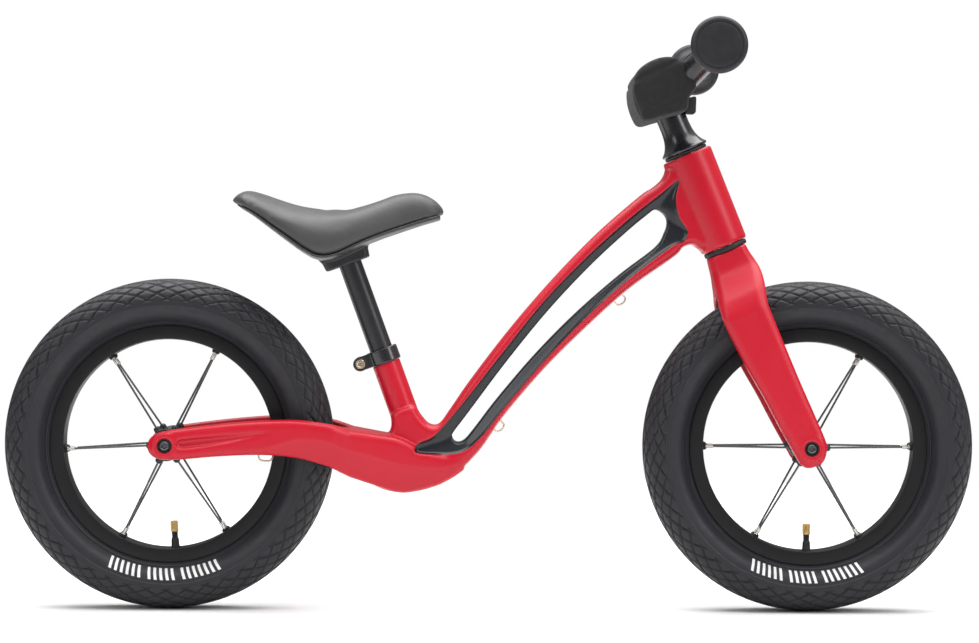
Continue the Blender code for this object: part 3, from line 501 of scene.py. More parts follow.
def leather(name, colour):
    """Imitation leather: pebbled grain, soft wear and an uneven satin."""
    look = Look(name, 0.5, 0.0, Specular_IOR_Level=0.45, Coat_Weight=0.08, Coat_Roughness=0.45)
    cells = look.add("ShaderNodeTexVoronoi", {"Vector": look.place, "Scale": 620.0}).outputs["Distance"]
    drift = look.mix(look.noise(16, 3), shade(colour, 0.9), shade(colour, 1.1))
    look.colour(look.worn(drift, shade(colour, 1.7), 0.4))
    look.roughness(look.spread(look.noise(45, 3), 0.44, 0.56))
    look.bump([(look.noise(55, 2), 0.12, 0.0005), (cells, 0.22, 1.2e-4), (look.noise(1500, 2), 0.2, 4e-5)])
    return look.material


PAD_FABRIC = woven("pad_fabric_look", (0.021, 0.021, 0.022), 480.0, 0.08)
STRAP_FABRIC = woven("strap_fabric", (0.030, 0.030, 0.032), 300.0, 0.1)
SADDLE_LEATHER = leather("saddle_look", (0.047, 0.048, 0.047))


# ---- Frame casting

def beam_outline():
    top = each(beam_point, ((0.14, 12.5), (0.23, 20.7), (0.39, 32.2), (0.56, 40.9), (0.73, 45.7), (0.88,
        45.2)))
    head = each(steering_point, (raised(HEAD_HIGH, [(-44, -17), (-33, -13.5), (-27, -9), (-22, -5), (-6,
        -14)]) + raised(HEAD_LOW, [(-6, 16), (-20, 4), (-25, 8), (-28.5, 13.5), (-38, 14.5)])))
    low = each(beam_point, ((0.84, -20.3), (0.70, -14.8), (0.55, -15.1), (0.39, -18.6), (0.23, -27), (0.12,
        -36.6)))
    foot = each(foot_point, ((28, -25.5), (5, -34), (-18, -37.5), (-45, -29), (-62, -5), (-58, 14), (-45,
        18.5)))
    seat = each(seat_point, ((-22, -67.5), (-15.5, -62), (-10, -50), (10, -50), (14.5, -62), (19, -72.5),
        (28, -76)))
    return smooth(top + head + low + foot + seat, 8, closed=True)


RECESS_STEPS = 8


def recess_outline():
    upper = each(beam_point, ((0.065, 3.6), (0.17, 8.5), (0.33, 19.2), (0.50, 30.2), (0.66, 35.1), (0.81,
        35.9), (0.93, 33.6)))
    head = each(steering_point, raised(HEAD_HIGH, [(-17.5, -20), (-27, -36), (-30.3,
        -54)]) + raised(HEAD_LOW, [(-28, 27), (-35.5, 19.5)]))
    lower = each(beam_point, ((0.85, -11.3), (0.70, -7.4), (0.55, -8.2), (0.40, -13.1), (0.25, -21), (0.15,
        -27.4), (0.08, -24.3)))
    tail = each(foot_point, ((1, 1.5), (-2.5, 7.5), (1.5, 11.5)))
    return smooth(upper + head + lower + tail, RECESS_STEPS, closed=True)


def slot_outline():
    shape = each(beam_point, ((0.105, -6.5), (0.17, -1.6), (0.33, 10.6), (0.50, 21), (0.66, 26.6), (0.79,
        27.8), (0.86, 27), (0.884, 26), (0.893, 20), (0.893, 13), (0.883, 7.5), (0.863, 3), (0.82, -1.6),
        (0.70, 1.5), (0.55, 1.8), (0.40, -2), (0.25, -9.8), (0.16, -16.3), (0.118, -18.8), (0.099, -17.3),
        (0.092, -13.5), (0.094, -9.5)))
    return smooth(shape, RECESS_STEPS, closed=True)


def edge_gap(points, outline):
    """Distance of each point from a closed outline, negative inside it."""
    a = np.array(outline)
    b = np.roll(a, -1, 0)
    way = b - a
    result = np.empty(len(points))
    for start in range(0, len(points), 20000):
        p = np.asarray(points[start:start + 20000])[:, None, :]
        t = np.clip(((p - a) * way).sum(2) / (way * way).sum(1), 0, 1)
        gap = np.sqrt((((a + t[..., None] * way) - p) ** 2).sum(2)).min(1)
        crosses = (a[:, 1] > p[..., 1]) != (b[:, 1] > p[..., 1])
        at = a[:, 0] + (p[..., 1] - a[:, 1]) * way[:, 0] / np.where(way[:, 1] == 0, 1e-12, way[:, 1])
        inside = (crosses & (p[..., 0] < at)).sum(1) % 2 == 1
        result[start:start + 20000] = np.where(inside, -gap, gap)
    return result


def clean_inset(outline, distance):
    """Inset whose corners don't cross: points too near the edge move between their neighbours."""
    moved = np.array(inset(outline, distance))
    good = np.nonzero(edge_gap(moved, outline) < 0.03 - distance)[0]
    every = np.arange(len(moved))
    columns = [np.interp(every, good, moved[good, k], period=len(moved)) for k in (0, 1)]
    return np.column_stack(columns).tolist()


def slab(outline, half, reach, amount):
    """Side-view outline made thick along Y, with its two rims rounded off."""
    steps = 6
    rim = [(half - reach + reach * k / steps, amount * (1 - math.sqrt(1 - (k / steps) ** 2))) for k in
        range(steps + 1)]
    layers = [(-y, cut) for y, cut in reversed(rim)] + rim
    return loft([[(x, y, z) for x, z in (clean_inset(outline, cut) if cut else outline)] for y,
        cut in layers])


BEAM_HALF = 18.0


def recess_cutter():
    wide = BEAM_HALF
    layers = [(-2 * wide, -0.02), (0.2 - wide, 0), (2 - wide, 0.10), (4.6 - wide, 0.62), (6.4 - wide, 1),
        (wide - 6.4, 1), (wide - 4.6, 0.62), (wide - 2, 0.10), (wide - 0.2, 0), (2 * wide, -0.02)]
    return loft([[(a[0] + share * (b[0] - a[0]), y, a[1] + share * (b[1] - a[1])) for a,
        b in zip(recess_outline(), slot_outline())] for y, share in layers])


DROPOUT_INNER, DROPOUT_OUTER = 37.0, 50.0


def stay_shell(side):
    inner = DROPOUT_INNER
    stations = [(x + at, z + top, z + bottom, z + crease, near, DROPOUT_OUTER + off) for x, z,
        rows in ((REAR_HUB.x, HUB_Z, ((-16.5, 3, -4, -3, inner, -5), (-14, 7.5, -8, -6, inner, -2.5), (-8,
        12, -12, -9.5, inner, -0.8), (3, 14.8, -13.4, -10.5, inner, 0), (20, 17.4, -12.6, -9.5, inner, 0),
        (55, 21.7, -9.6, -6, inner, 1), (95, 25, -8.4, -3, inner, 2), (128, 25.2, -12, 6, inner, 2))),
        (REAR_HUB.x + TYRE_RADIUS, HUB_Z, ((-3, 21.6, -21, 3.5, inner - 1, 0), (7, 18.8, -25.5, -1.5,
        inner - 11, -3), (13, 17, -28.5, -3.5, inner - 30, -5.5), (18, 15.5, -31, -5.5, -3, -8))), (*FOOT,
        ((-43, 21, -29.5, -2, -3, -14), (-18, 16, -37, -9.5, -3, -20), (7, 4, -34, -13, -3, -25), (29, -1,
        -25, -13.6, -3, -30), (44, -1, -15, -8, -3, -34)))) for at, top, bottom, crease, near, off in rows]
    rings = []
    for x, top, bottom, crease, near, far in smooth(stations, 5):
        lean = 0.55 * (crease - bottom)
        shape = rounded([(near, bottom, 3), (far - lean, bottom, 3), (far, crease, 1.0), (far, top, 7),
            (near, top, 5)])
        rings.append([(x, side * y, z) for y, z in shape])
    return loft(rings)


def scoop(side):
    """Long recess in a chainstay's outer face: a deep upper edge and a floor that slopes out below."""
    rings = []
    for x, middle, half, depth in ((11.0, 1.6, 1.2, 0.8), (11.8, 1.6, 3.6, 2.4), (14, 1.7, 4.9, 3.6), (19,
            2.2, 5.3, 4.0), (28, 3.2, 5.4, 3.9), (45, 5.2, 4.9, 3.3), (62, 7.4, 4.0, 2.5), (78, 9.8, 2.8,
            1.6), (92, 12.0, 1.6, 0.8), (104, 13.8, 0.7, 0.3)):
        x += REAR_HUB.x
        z = HUB_Z + middle
        skin = DROPOUT_OUTER + min(2, max(0, (x - REAR_HUB.x - 20) / 38))
        rings.append([(x, side * (skin + 6), z + half), (x, side * (skin - depth * 0.92), z + half * 0.72),
            (x, side * (skin - depth), z + half * 0.3), (x, side * (skin - depth), z - half * 0.45), (x,
            side * (skin - depth * 0.4), z - half * 0.88), (x, side * (skin + 6), z - half * 1.2)])
    return loft(rings)


def bolt_recesses(matrix):
    profile = [(0, 46.5), (6.8, 46.5), (6.8, 49.8), (7.4, 50.6), (7.4, 60), (0, 60)]
    return [placed(turned([(r, side * y) for r, y in profile], 48, "Y"), matrix) for side in (-1, 1)]


def bosses(matrix):
    return [placed(rod(12.2, low, low + 11.4, 48, "Y"), matrix) for low in (39, -50.4)]


def frame_mesh():
    seat_tube = turned([(0, -92), (13.7, -92), (13.7, -3.6), (12.9, -3.6), (12.9, 8), (0, 8)], 64)
    radius = HEAD_RADIUS
    head_tube = turned(raised(HEAD_LOW, [(19.3, 0), (radius - 2, 0), (radius - 0.9, 1.2), (radius - 0.6,
        4)]) + raised(HEAD_HIGH, [(radius + 0.7, -4), (radius + 0.8, -1), (radius + 0.1, 0), (19.3, 0)]),
        96)
    rear = Matrix.Translation(REAR_HUB)
    shells = [slab(beam_outline(), BEAM_HALF, 9.5, 5.5), stay_shell(-1), stay_shell(1), placed(seat_tube,
        SEAT), placed(head_tube, STEER), *bosses(rear)]
    cutters = [recess_cutter(), placed(rod(19.3, HEAD_LOW - 5, HEAD_HIGH + 5, 96), STEER),
        *bolt_recesses(rear), scoop(-1), scoop(1)]
    return fused(shells, cutters, 0.9, 24, "frame_casting")


def store(mesh, name, values):
    mesh.attributes.new(name, "FLOAT", "POINT").data.foreach_set("value", values.astype(np.float32))


def recess_distance(mesh):
    """Stores each point's side-view distance from the recess edge, negative inside, in metres."""
    points = coordinates(mesh)[:, [0, 2]].astype(float) / MM
    edge = np.array(recess_outline())
    result = np.full(len(points), 50.0)
    near = np.nonzero(((points > edge.min(0) - 10) & (points < edge.max(0) + 10)).all(1))[0]
    result[near] = edge_gap(points[near], edge)
    store(mesh, "recess", result * MM)


casting = frame_mesh()
recess_distance(casting)
piece("frame_casting", casting, FRAME_PAINT, "frame", ("frame",))


def wire(points, radius=1.0, sides=14):
    """Round wire along a smooth line."""
    line = [Vector(point) for point in smooth(points, 6)]
    rings = []
    for i, point in enumerate(line):
        way = (line[min(i + 1, len(line) - 1)] - line[max(i - 1, 0)]).normalized()
        side = way.cross(Vector((0, 1, 0))).normalized()
        up = side.cross(way)
        rings.append([point + radius * (math.cos(a) * side + math.sin(a) * up) for a in angles(sides)])
    return loft(rings)


LOOP_REACH = 4.6
BEAM_SPAN = 369


def loop_on_beam(share, edge):
    """Small open loop of wire that hangs below the beam's lower edge."""
    points = []
    for along, off in ((-1.1, 5), (-1.1, -1), (-0.9, -3.5), (-0.1, -4.8), (0.7, -4.2), (1.1, -2.2), (1.1,
            0), (1.1, 5)):
        x, z = beam_point(share + along * LOOP_REACH / BEAM_SPAN, edge + off)
        points.append((x, -13.0, z))
    return points


loop_on_stay = [(REAR_HUB.x + x, y, HUB_Z + z) for x, y, z in ((89, -42, -5), (89.2, -42, -10), (90.2, -42,
    -12.6), (92.5, -42, -13.7), (97, -42, -14.1), (100.5, -42, -13.6), (102.5, -41, -11), (103, -39, -6))]
GUIDES = [("wire_guide_beam_high", loop_on_beam(0.66, -16.2)), ("wire_guide_beam_low",
    loop_on_beam(0.205, -30.2)), ("wire_guide_stay", loop_on_stay)]
for name, line in GUIDES:
    piece(name, wire(line, 0.8), BOLT_BRONZE, "frame")


# ---- Headset, clamp and bolts

for where, profile in (("upper", raised(HEAD_HIGH, [(15, 0.2), (20.4, 0.2), (21, 0.9)]) + raised(STEM_FOOT,
        [(21, -1), (20.4, -0.2), (15, -0.2)])), ("lower", raised(CROWN_TOP, [(15, 0.2), (20.8, 0.2),
        (21.5, 1.2)]) + raised(HEAD_LOW, [(21.5, -1.2), (20.8, -0.2), (15, -0.2)]))):
    piece(f"{where}_seal", placed(turned(profile, 96), STEER), SEAL, "frame",
        (f"{where}_headset_bearing",))

clamp_middle = CLAMP_LOW + CLAMP_HEIGHT / 2
collar = turned(raised(CLAMP_LOW, [(13.1, 0), (14.5, 0), (15.3, 0.8), (15.3, 13.5), (14.5, CLAMP_HEIGHT),
    (13.1, CLAMP_HEIGHT)]), 96)
ear = box((CLAMP_EAR, -10, clamp_middle - 6.6), (-9, 10, clamp_middle + 6.6))
ear_end = rod(6.9, -10, 10, 64, "Y", (CLAMP_EAR, 0, clamp_middle))
clamp = fused([placed(part, SEAT) for part in (collar, ear, ear_end)],
    [placed(rod(13.1, -20, 30, 96), SEAT), placed(box((-40, -0.9, -20), (-8, 0.9, 30)), SEAT),
    placed(rod(5.3, -16, -5.2, 48, "Y", (CLAMP_EAR, 0, clamp_middle)), SEAT)], 0.45, 3, "seat_collar")
piece("seat_collar", clamp, GLOSS_BLACK, "frame", ("seat_clamp",))


def socket_bolt(top, radius, height, socket, side, centre):
    """Socket-head screw with a chamfered head and a six-sided recess."""
    foot = top - height
    profile = [(0, foot - 6), (radius * 0.5, foot - 6), (radius * 0.5, foot), (radius, foot), (radius,
        top - 0.7), (radius - 0.7, top), (socket + 0.45, top), (socket, top - 0.35), (socket,
        top - height * 0.85), (0, top - height * 0.85)]
    return turned([(r, side * y) for r, y in profile], 48, "Y", centre, hexagon=(6, 7, 8))


piece("collar_bolt", placed(socket_bolt(10.2, 5.0, 4.6, 2.3, -1, (CLAMP_EAR, 0, clamp_middle)), SEAT),
    BOLT_BRONZE, "frame", ("seat_clamp_bolt",))

for end, (matrix, _) in WHEELS.items():
    body = "frame" if end == "rear" else "fork"
    piece(f"{end}_axle_shaft", placed(turned([(0, -36.5), (7.2, -36.5), (7.2, -34.4), (5, -34.4), (5, 34.4),
        (7.2, 34.4), (7.2, 36.5), (0, 36.5)], 48, "Y"), matrix), STEEL, body, (f"{end}_axle",))
    for name, side in (("right", -1), ("left", 1)):
        piece(f"{end}_screw_{name}", placed(socket_bolt(50.2, 4.7, 3.6, 2.7, side, (0, 0, 0)), matrix),
            BOLT_BLACK, body, (f"{end}_axle_bolt_{name}",))
        # Painted shade: a thin black ring fills each bolt recess round the screw head, standing in for the
        # shadow there.
        recess_shade_ring = [(3.2, 46.6), (6.75, 46.6), (6.75, 50.1), (6.35, 50.1), (6.2, 47.6), (3.2, 47.6)]
        piece(f"{end}_washer_{name}", placed(turned([(r, side * y) for r, y in recess_shade_ring], 64, "Y"), matrix),
            SEAL, body)


# ---- Seat

post = turned([(9.3, -52), (10.6, -52), (POST_RADIUS, -51.4), (POST_RADIUS, BASE_LOW + 8.4), (10.6,
    BASE_LOW + 9), (9.3, BASE_LOW + 9)], 96)
piece("seat_tube_post", placed(post, SEAT), SATIN_BLACK, "seat", ("seat_post",))

SADDLE_SECTIONS = [(-83, 90.5, -86, 95, 24), (-77, 85, -79.5, 98.3, 45), (-69, 76.5, -67, 98.2, 54), (-57,
    59.5, -49, 83.5, 58), (-45, 42, -30, 68.8, 60), (-33, 25, -12, 58.5, 60), (-23, 15.5, 3, 52.7, 58), (-8,
    12, 17, 49, 54), (15, 14.2, 33, 47.2, 47), (38, 15.2, 49, 46.8, 38), (60, 15, 66, 46.6, 30), (80, 14.4,
    85, 41.2, 25), (93, 13.5, 97.5, 29.5, 20), (101, 13, 102.8, 17, 11)]
SADDLE_RISE = [(0.0, 0.02), (0.45, 0.0), (0.86, 0.0), (0.965, 0.05), (1.0, 0.16), (0.99, 0.34), (0.945,
    0.55), (0.85, 0.735), (0.69, 0.865), (0.48, 0.945), (0.25, 0.985), (0.0, 1.0)]


def saddle_shell(grow=0.0):
    rings = []
    rise = smooth(SADDLE_RISE, 3)
    for low_s, low_t, top_s, top_t, half in smooth(SADDLE_SECTIONS, 7):
        ring = [(y, h) for y, h in rise] + [(-y, h) for y, h in reversed(rise[1:-1])]
        rings.append([(low_s + h * (top_s - low_s), y * (half + grow),
            BASE_LOW + low_t + h * (top_t - low_t)) for y, h in ring])
    return loft(rings)


def swollen(mesh, name, voxel, pressure, cap, hold, frames=20):
    """Cloth-simulated copy of a closed mesh: pushed out from inside, held where hold says, and capped."""
    target = linked(name, mesh)
    voxel_skin(target, voxel)
    ready = evaluated(target)
    start = coordinates(ready).astype(float)
    cloth_object = linked(name, ready)
    group = cloth_object.vertex_groups.new(name="hold")
    for index, share in enumerate(hold(start / MM)):
        if share > 0:
            group.add([index], float(share), "REPLACE")
    cloth = cloth_object.modifiers.new("cloth", "CLOTH")
    settings = cloth.settings
    settings.use_pressure = True
    settings.uniform_pressure_force = pressure
    settings.effector_weights.gravity = 0
    settings.vertex_group_mass = "hold"
    settings.quality = 5
    settings.tension_stiffness = settings.compression_stiffness = 12
    settings.bending_stiffness = 0.6
    cloth.point_cache.frame_start = 1
    cloth.point_cache.frame_end = frames
    for step in range(1, frames + 1):
        bpy.context.scene.frame_set(step)
    ready = evaluated(cloth_object)
    bpy.context.scene.frame_set(1)
    step = coordinates(ready) - start
    length = np.linalg.norm(step, axis=1, keepdims=True)
    step *= np.minimum(1, cap * MM / np.maximum(length, 1e-9))
    ready.vertices.foreach_set("co", (start + step).astype(np.float32).ravel())
    ready.update()
    return ready


def softened(mesh, name, passes, levels):
    """Mesh with its voxel steps eased and one subdivision."""
    target = linked(name, mesh)
    eased(target, passes)
    finer = target.modifiers.new("finer", "SUBSURF")
    finer.levels = levels
    made = evaluated(target)
    made.name = name
    made.shade_smooth()
    return made


def local_to(matrix, points):
    return np.array(matrix.inverted().to_3x3()) @ (points - np.array(matrix.translation)).T


def hold_saddle(points):
    """The under side of the cushion is glued to its base."""
    local = local_to(SEAT, points)
    x, z = local[0], local[2] - BASE_LOW
    under = np.interp(x, [s[0] for s in SADDLE_SECTIONS], [s[1] for s in SADDLE_SECTIONS])
    return np.clip(1.0 - (z - under - 3.0) / 5.0, 0, 1)


saddle_start = placed(saddle_shell(-0.6), SEAT)
saddle = softened(swollen(mesh_of("saddle_start", saddle_start, 0), "saddle_cloth", 3.0, 1.4, 1.6,
    hold_saddle), "saddle_cushion", 4, 1)
saddle_cover = piece("saddle_cushion", saddle, SADDLE_LEATHER, "seat", ("saddle_pad",))


def saddle_base():
    rings = []
    for low_s, low_t, top_s, top_t, half in smooth(SADDLE_SECTIONS, 7)[3:-4]:
        way = Vector((top_s - low_s, top_t - low_t)).normalized()
        ring = [(low_s - off * way.x, share * half, BASE_LOW + low_t - off * way.y) for off,
            share in ((-1.2, 0.3), (-1.2, 0.9), (-0.8, 0.985), (0.5, 1.0), (1.3, 0.985), (2.4, 0.9), (3.8,
            0.7), (4.2, 0.3))]
        rings.append(ring + [(x, -y, z) for x, y, z in reversed(ring)])
    shell = loft(rings)
    block = loft([[(x, y, BASE_LOW + z) for x, y in rounded([(-24 - lean, -17, 6), (20 + lean, -15, 6),
        (20 + lean, 15, 6), (-24 - lean, 17, 6)])] for z, lean in ((-0.6, -1.2), (0, -0.3), (1, 0), (8, 1),
        (11.5, 3))])
    return fused([placed(part, SEAT) for part in [shell, block]], [], 0.95, 2, "saddle_tray")


piece("saddle_tray", saddle_base(), PLASTIC, "seat", ("saddle_base",))


# ---- Fork

def fork_mesh():
    outer, half, tyre = DROPOUT_OUTER, 20.5, TYRE_RADIUS
    stations = [(-17, -8, 3, outer - 4, 1.5, 0), (-14.5, -12.5, 7.5, outer - 2, 3, 0), (-8, -16, 12.5,
        outer - 0.6, 4.5, 0), (0, -17, 15.4, outer, 6, 0), (30, -half, 15.2, outer, 7, 0), (62, -half - 3,
        14.5, outer, 7.5, 0), (tyre - 69, -half - 6.7, 14.4, outer, 7.5, 0), (tyre - 45, -half - 9, 14.4,
        outer, 7.5, 0), (tyre - 24, -half - 10.5, 14.6, outer, 8, 0), (tyre - 13, -half - 10.8, 15.5, outer,
        9, 0.05), (tyre, -half - 9.8, 20.5, outer - 3.5, 10, 0.25), (tyre + 10, -half - 8.6, 24.4,
        outer - 9.5, 9, 0.5), (tyre + 19, -half - 8.2, 26.8, outer - 16.5, 7, 0.75), (tyre + 27, -half - 7,
        27, outer - 22, 5, 0.95), (CROWN_TOP - 9, -25.8, 25, 25.3, 4, 1), (CROWN_TOP, -23.8, 23.6, 23.7, 4,
        1)]
    rings = []
    for along, rear, front, wide, chamfer, roundness in smooth(stations, 5):
        dip = 0.45 * chamfer
        shape = rounded([(rear, -wide, 8), (front - chamfer, -wide, 2.4), (front, dip - wide, 3.5), (front,
            wide - dip, 3.5), (front - chamfer, wide, 2.4), (rear, wide, 8)], 6)
        middle, radius = (rear + front) / 2, (front - rear) / 2
        ring = []
        for x, y in shape:
            angle = math.atan2(y / wide, (x - middle) / radius)
            ring.append((x + roundness * (middle + radius * math.cos(angle) - x),
                y + roundness * (wide * math.sin(angle) - y), along))
        rings.append(ring)
    arch = [(DROPOUT_INNER, -30)]
    for i in range(33):
        angle = math.pi * i / 32
        arch.append((DROPOUT_INNER * math.cos(angle), tyre - 20 + 27 * math.sin(angle)))
    arch.append((-DROPOUT_INNER, -30))
    gap = loft([[(x, y, z) for y, z in arch] for x in (-60, 60)])
    return fused([placed(loft(rings), STEER), *bosses(STEER)], [placed(gap, STEER), *bolt_recesses(STEER)],
        1.0, 12, "fork_casting")


piece("fork_casting", fork_mesh(), RED_PAINT, "fork", ("fork",))


# ---- Handlebar

BEND_START, BEND_END = 22.0, 105.0
BAR_FORWARD, BAR_RISE = 52.7, 22.5
BAR_TIP = BAR_END - 7


def bar_point(y):
    share = float(ease(abs(y), BEND_START, BEND_END))
    return Vector((BAR_FORWARD * share, y, BAR_HEIGHT + BAR_RISE * share))


def bar_shell():
    rings = []
    for k in range(-60, 61):
        y = BAR_TIP * k / 60
        way = (bar_point(y + 0.5) - bar_point(y - 0.5)).normalized()
        side = way.cross(Vector((0, 0, 1))).normalized()
        up = side.cross(way)
        radius = 12.7 - 1.6 * float(ease(abs(y), 80, 100))
        rings.append([bar_point(y) + radius * (math.cos(a) * side + math.sin(a) * up) for a in angles(48)])
    return loft(rings)


flare = smooth([(22.5, 0.9), (22.5, 2.2), (19.5, 5.5), (16.8, 10.5), (15, 17), (14.3, 25)], 5)
stem_profile = (raised(STEM_FOOT, [(12.9, 0), (21.6, 0), (22.2, 0.3)] + flare) + raised(BAR_HEIGHT,
    [(14.3, -4), (14.3, 1), (13.6, 2), (12.9, 2)]))
handlebar = merged([placed(bar_shell(), STEER), placed(turned(stem_profile, 96), STEER)])
piece("handlebar_tube", handlebar, GLOSS_BLACK, "fork", ("handlebar",))
NODES["steerer_tube"].material_slots[0].material = STEEL
NODES["stem_bolt"].material_slots[0].material = BOLT_BLACK

grip_start = BAR_END - 82
grip_profile = raised(grip_start, [(0, 0.1), (11.4, 0), (14.2, 0), (15.0, 0.6), (15.4, 1.6)])
for k in range(13):
    grip_profile += raised(grip_start + 4 + 4 * k, [(15.6, 0), (15.6, 2.2), (14.8, 2.8), (14.8, 3.4)])
end_curve = smooth([(15.7, 25), (17.0, 18), (20.5, 14.3), (24.2, 12.6), (25.8, 10), (26, 6.5), (25.7, 3.6),
    (24.6, 1.6), (22.8, 0.6), (21.0, 0.5)], 4)
end_face = [(22.6, 1.5), (22.0, 1.5), (21.3, 0.9), (18, 0.45), (12, 0.1), (6, 0), (0, 0)]
grip_profile += [(radius, BAR_END - back) for radius, back in end_curve + end_face]
for name, side in (("left", 1), ("right", -1)):
    shape = turned([(r, side * y) for r, y in grip_profile], 96, "Y", (BAR_FORWARD, 0, BAR_HEIGHT + BAR_RISE))
    piece(f"grip_cover_{name}", placed(shape, STEER), GRIP_RUBBER, "fork", (f"grip_{name}",))


# ---- Bar pad

low = BAR_HEIGHT - 15.5
pad_outline = smooth(raised(low, [(-31, 2), (-31, 12), (-30.3, 28), (-26.5, 41), (-17, 50.5), (0, 54), (16,
    51), (27, 42), (31, 28), (30.5, 15), (26, 9.8), (19.3, 8.6), (15.4, 0), (13, -4), (0, -2.2), (-16, 0)]),
    6, closed=True)
PAD_HALF = 80.0


def pad_shell():
    rings = []
    for back, cut in ((1.2, 4), (1.6, 2.2), (3, 1.2), (8, 0.8), (30, 0.6)):
        rings.append([(x, back - PAD_HALF, z) for x, z in inset(pad_outline, cut)])
    rings += [[(x, -y, z) for x, y, z in ring] for ring in reversed(rings)]
    return loft(rings)


def hold_pad(points):
    """The pad's lower edges are closed round the stem and its back edge is stitched."""
    return np.clip(1.0 - (local_to(STEER, points)[2] - low - 0.5) / 4.0, 0, 1)


pad = softened(swollen(mesh_of("pad_start", placed(pad_shell(), STEER), 0), "pad_cloth", 4.0, 3.0, 3.2,
    hold_pad), "bar_pad_cover", 2, 1)


def crease(mesh, matrix, lines, width, depth):
    """Presses stitched lines into a soft mesh. Each line is a function of local points giving a distance."""
    back = matrix.inverted()
    for vertex in mesh.vertices:
        local = back @ (vertex.co / MM)
        push = sum(depth * math.exp(-(line(local) / width) ** 2) for line in lines)
        if push > 0.02:
            vertex.co -= vertex.normal * push * MM
    mesh.update()


def pad_top_seam(point):
    return abs(point.z - (low + 42.5 + 0.05 * point.x)) if point.x < 24 and point.x > -26 else 99


def pad_side_seam(point):
    return abs(abs(point.y) - PAD_HALF + 9)


crease(pad, STEER, [pad_top_seam, pad_side_seam], 1.5, 1.1)
pad_cover = piece("bar_pad_cover", pad, PAD_FABRIC, "fork", ("handlebar_pad",))

strap_outline = rounded([(19.4, low + 9.3, 1.2), (14.2, low - 4.2, 1.8), (22.6, low - 8.2, 3), (29.8,
    low + 7.6, 3)], 6)
strap = slab(strap_outline, 12.0, 1.2, 0.9)
piece("pad_loop", placed(strap, STEER), STRAP_FABRIC, "fork", ("pad_strap",))


# ---- Tyres

TYRE_SIDE = [(110.5, 11.6), (115, 12.2), (118.5, 17.5), (124.2, 25.4), (132, 29.2), (139, 30), (145.5,
    28.2), (150.5, 24.4), (154.8, 18.8), (157.5, 12), (158.7, 6)]
TYRE_INSIDE = [(110.5, 9.5), (116.5, 11), (124, 22), (134, 26), (146, 22.5), (152, 13)]
TREAD_PITCHES = 46
TREAD_START = 138.2
RIBS = (134.2, 117.6)


def tyre_line():
    """Outer side of the section as (radius, across), its arc length from the crown, and the inner side."""
    line = np.array(smooth(TYRE_SIDE + [(TYRE_RADIUS, 0)] + [(r, -y) for r, y in reversed(TYRE_SIDE)], 12))
    arc = np.concatenate(([0], np.cumsum(np.hypot(*np.diff(line, axis=0).T))))
    fine = np.linspace(0, arc[-1], 3000)
    radius = np.interp(fine, arc, line[:, 0])
    dense = np.where((radius > TREAD_START - 1.5), 1 / 0.78, 1 / 1.9)
    for rib in RIBS:
        dense = np.where(abs(radius - rib) < 1.1, 1 / 0.45, dense)
    count = np.concatenate(([0], np.cumsum((dense[1:] + dense[:-1]) / 2 * np.diff(fine))))
    chosen = np.interp(np.linspace(0, count[-1], int(count[-1]) // (1)), count, fine)
    outer = np.column_stack([np.interp(chosen, arc, line[:, k]) for k in (0, 1)])
    inner = np.array(TYRE_INSIDE + [(153.6, 0)] + [(r, -y) for r, y in reversed(TYRE_INSIDE)])[::-1]
    return outer, chosen - arc[-1] / 2, inner


def tyre_mesh(name):
    """Tyre with crossed tread grooves that make long diamonds, and two raised rings on each side."""
    outer, arc, inner = tyre_line()
    around = 620
    angle = 2 * np.pi * np.arange(around) / around
    slope = np.gradient(outer, axis=0)
    slope /= np.linalg.norm(slope, axis=1, keepdims=True)
    normal = np.column_stack([-slope[:, 1], slope[:, 0]])
    turns = TREAD_PITCHES * angle[:, None] / (2 * np.pi)
    groove = np.zeros((around, len(arc)))
    for lean in (1, -1):
        part = (turns + lean * arc[None, :] / 11) % 1
        groove = np.maximum(groove, 1 - ease(np.minimum(part, 1 - part) * 9.8, 0.45, 1.15))
    groove *= ease(outer[:, 0], TREAD_START - 0.6, TREAD_START + 0.9)[None, :]
    rise = -1.5 * groove
    for rib in RIBS:
        rise += 0.45 * (1 - ease(abs(outer[:, 0] - rib), 0.25, 0.75))[None, :]
    section = outer[None] + rise[..., None] * (normal * np.sign((normal[:, 0] + normal[:,
        1] * np.sign(outer[:, 1])))[:, None])[None]
    section = np.concatenate([section, np.broadcast_to(inner[None], (around, *inner.shape))], 1)
    width = section.shape[1]
    points = np.stack([section[..., 0] * np.cos(angle)[:, None], section[..., 1], section[...,
        0] * np.sin(angle)[:, None]], -1).reshape(-1, 3)
    a, i = np.meshgrid(np.arange(around), np.arange(width), indexing="ij")
    b, j = (a + 1) % around, (i + 1) % width
    faces = np.stack([a * width + i, a * width + j, b * width + j, b * width + i], -1).reshape(-1, 4)
    mesh = mesh_of(name, (points.tolist(), faces.tolist()), 0)
    # The groove mask stored here is also what the tyre material uses to paint shade into the grooves.
    depth = np.zeros((around, width), np.float32)
    depth[:, :len(arc)] = groove
    store(mesh, "groove", depth.ravel())
    return mesh


def side_width(radius):
    """Half width of the tyre at a radius on its sidewall."""
    line = np.array(smooth(TYRE_SIDE, 12))
    line = line[line[:, 0] < 139]
    return float(np.interp(radius, line[:, 0], line[:, 1]))


def tyre_marks(side):
    """Plain slanted bars printed on the sidewall, in three groups."""
    bars = []
    for first, count, pitch in ((-116.5, 6, 2.6), (-99, 5, 2.6), (-84, 7, 2.6)):
        for k in range(count):
            rings = []
            for share in np.linspace(0, 1, 7):
                radius = 119.5 + 10.5 * share
                start = math.radians(first + k * pitch + 1.1 * share)
                end = start + math.radians(1.25)
                skin = side_width(radius)
                rings.append([(radius * math.cos(angle), side * (skin + off),
                    radius * math.sin(angle)) for angle, off in ((start, -0.3), (start, 0.16), (end, 0.16),
                    (end, -0.3))])
            bars.append(loft(rings))
    return merged(bars)


# ---- Rims, hubs, spokes and valves

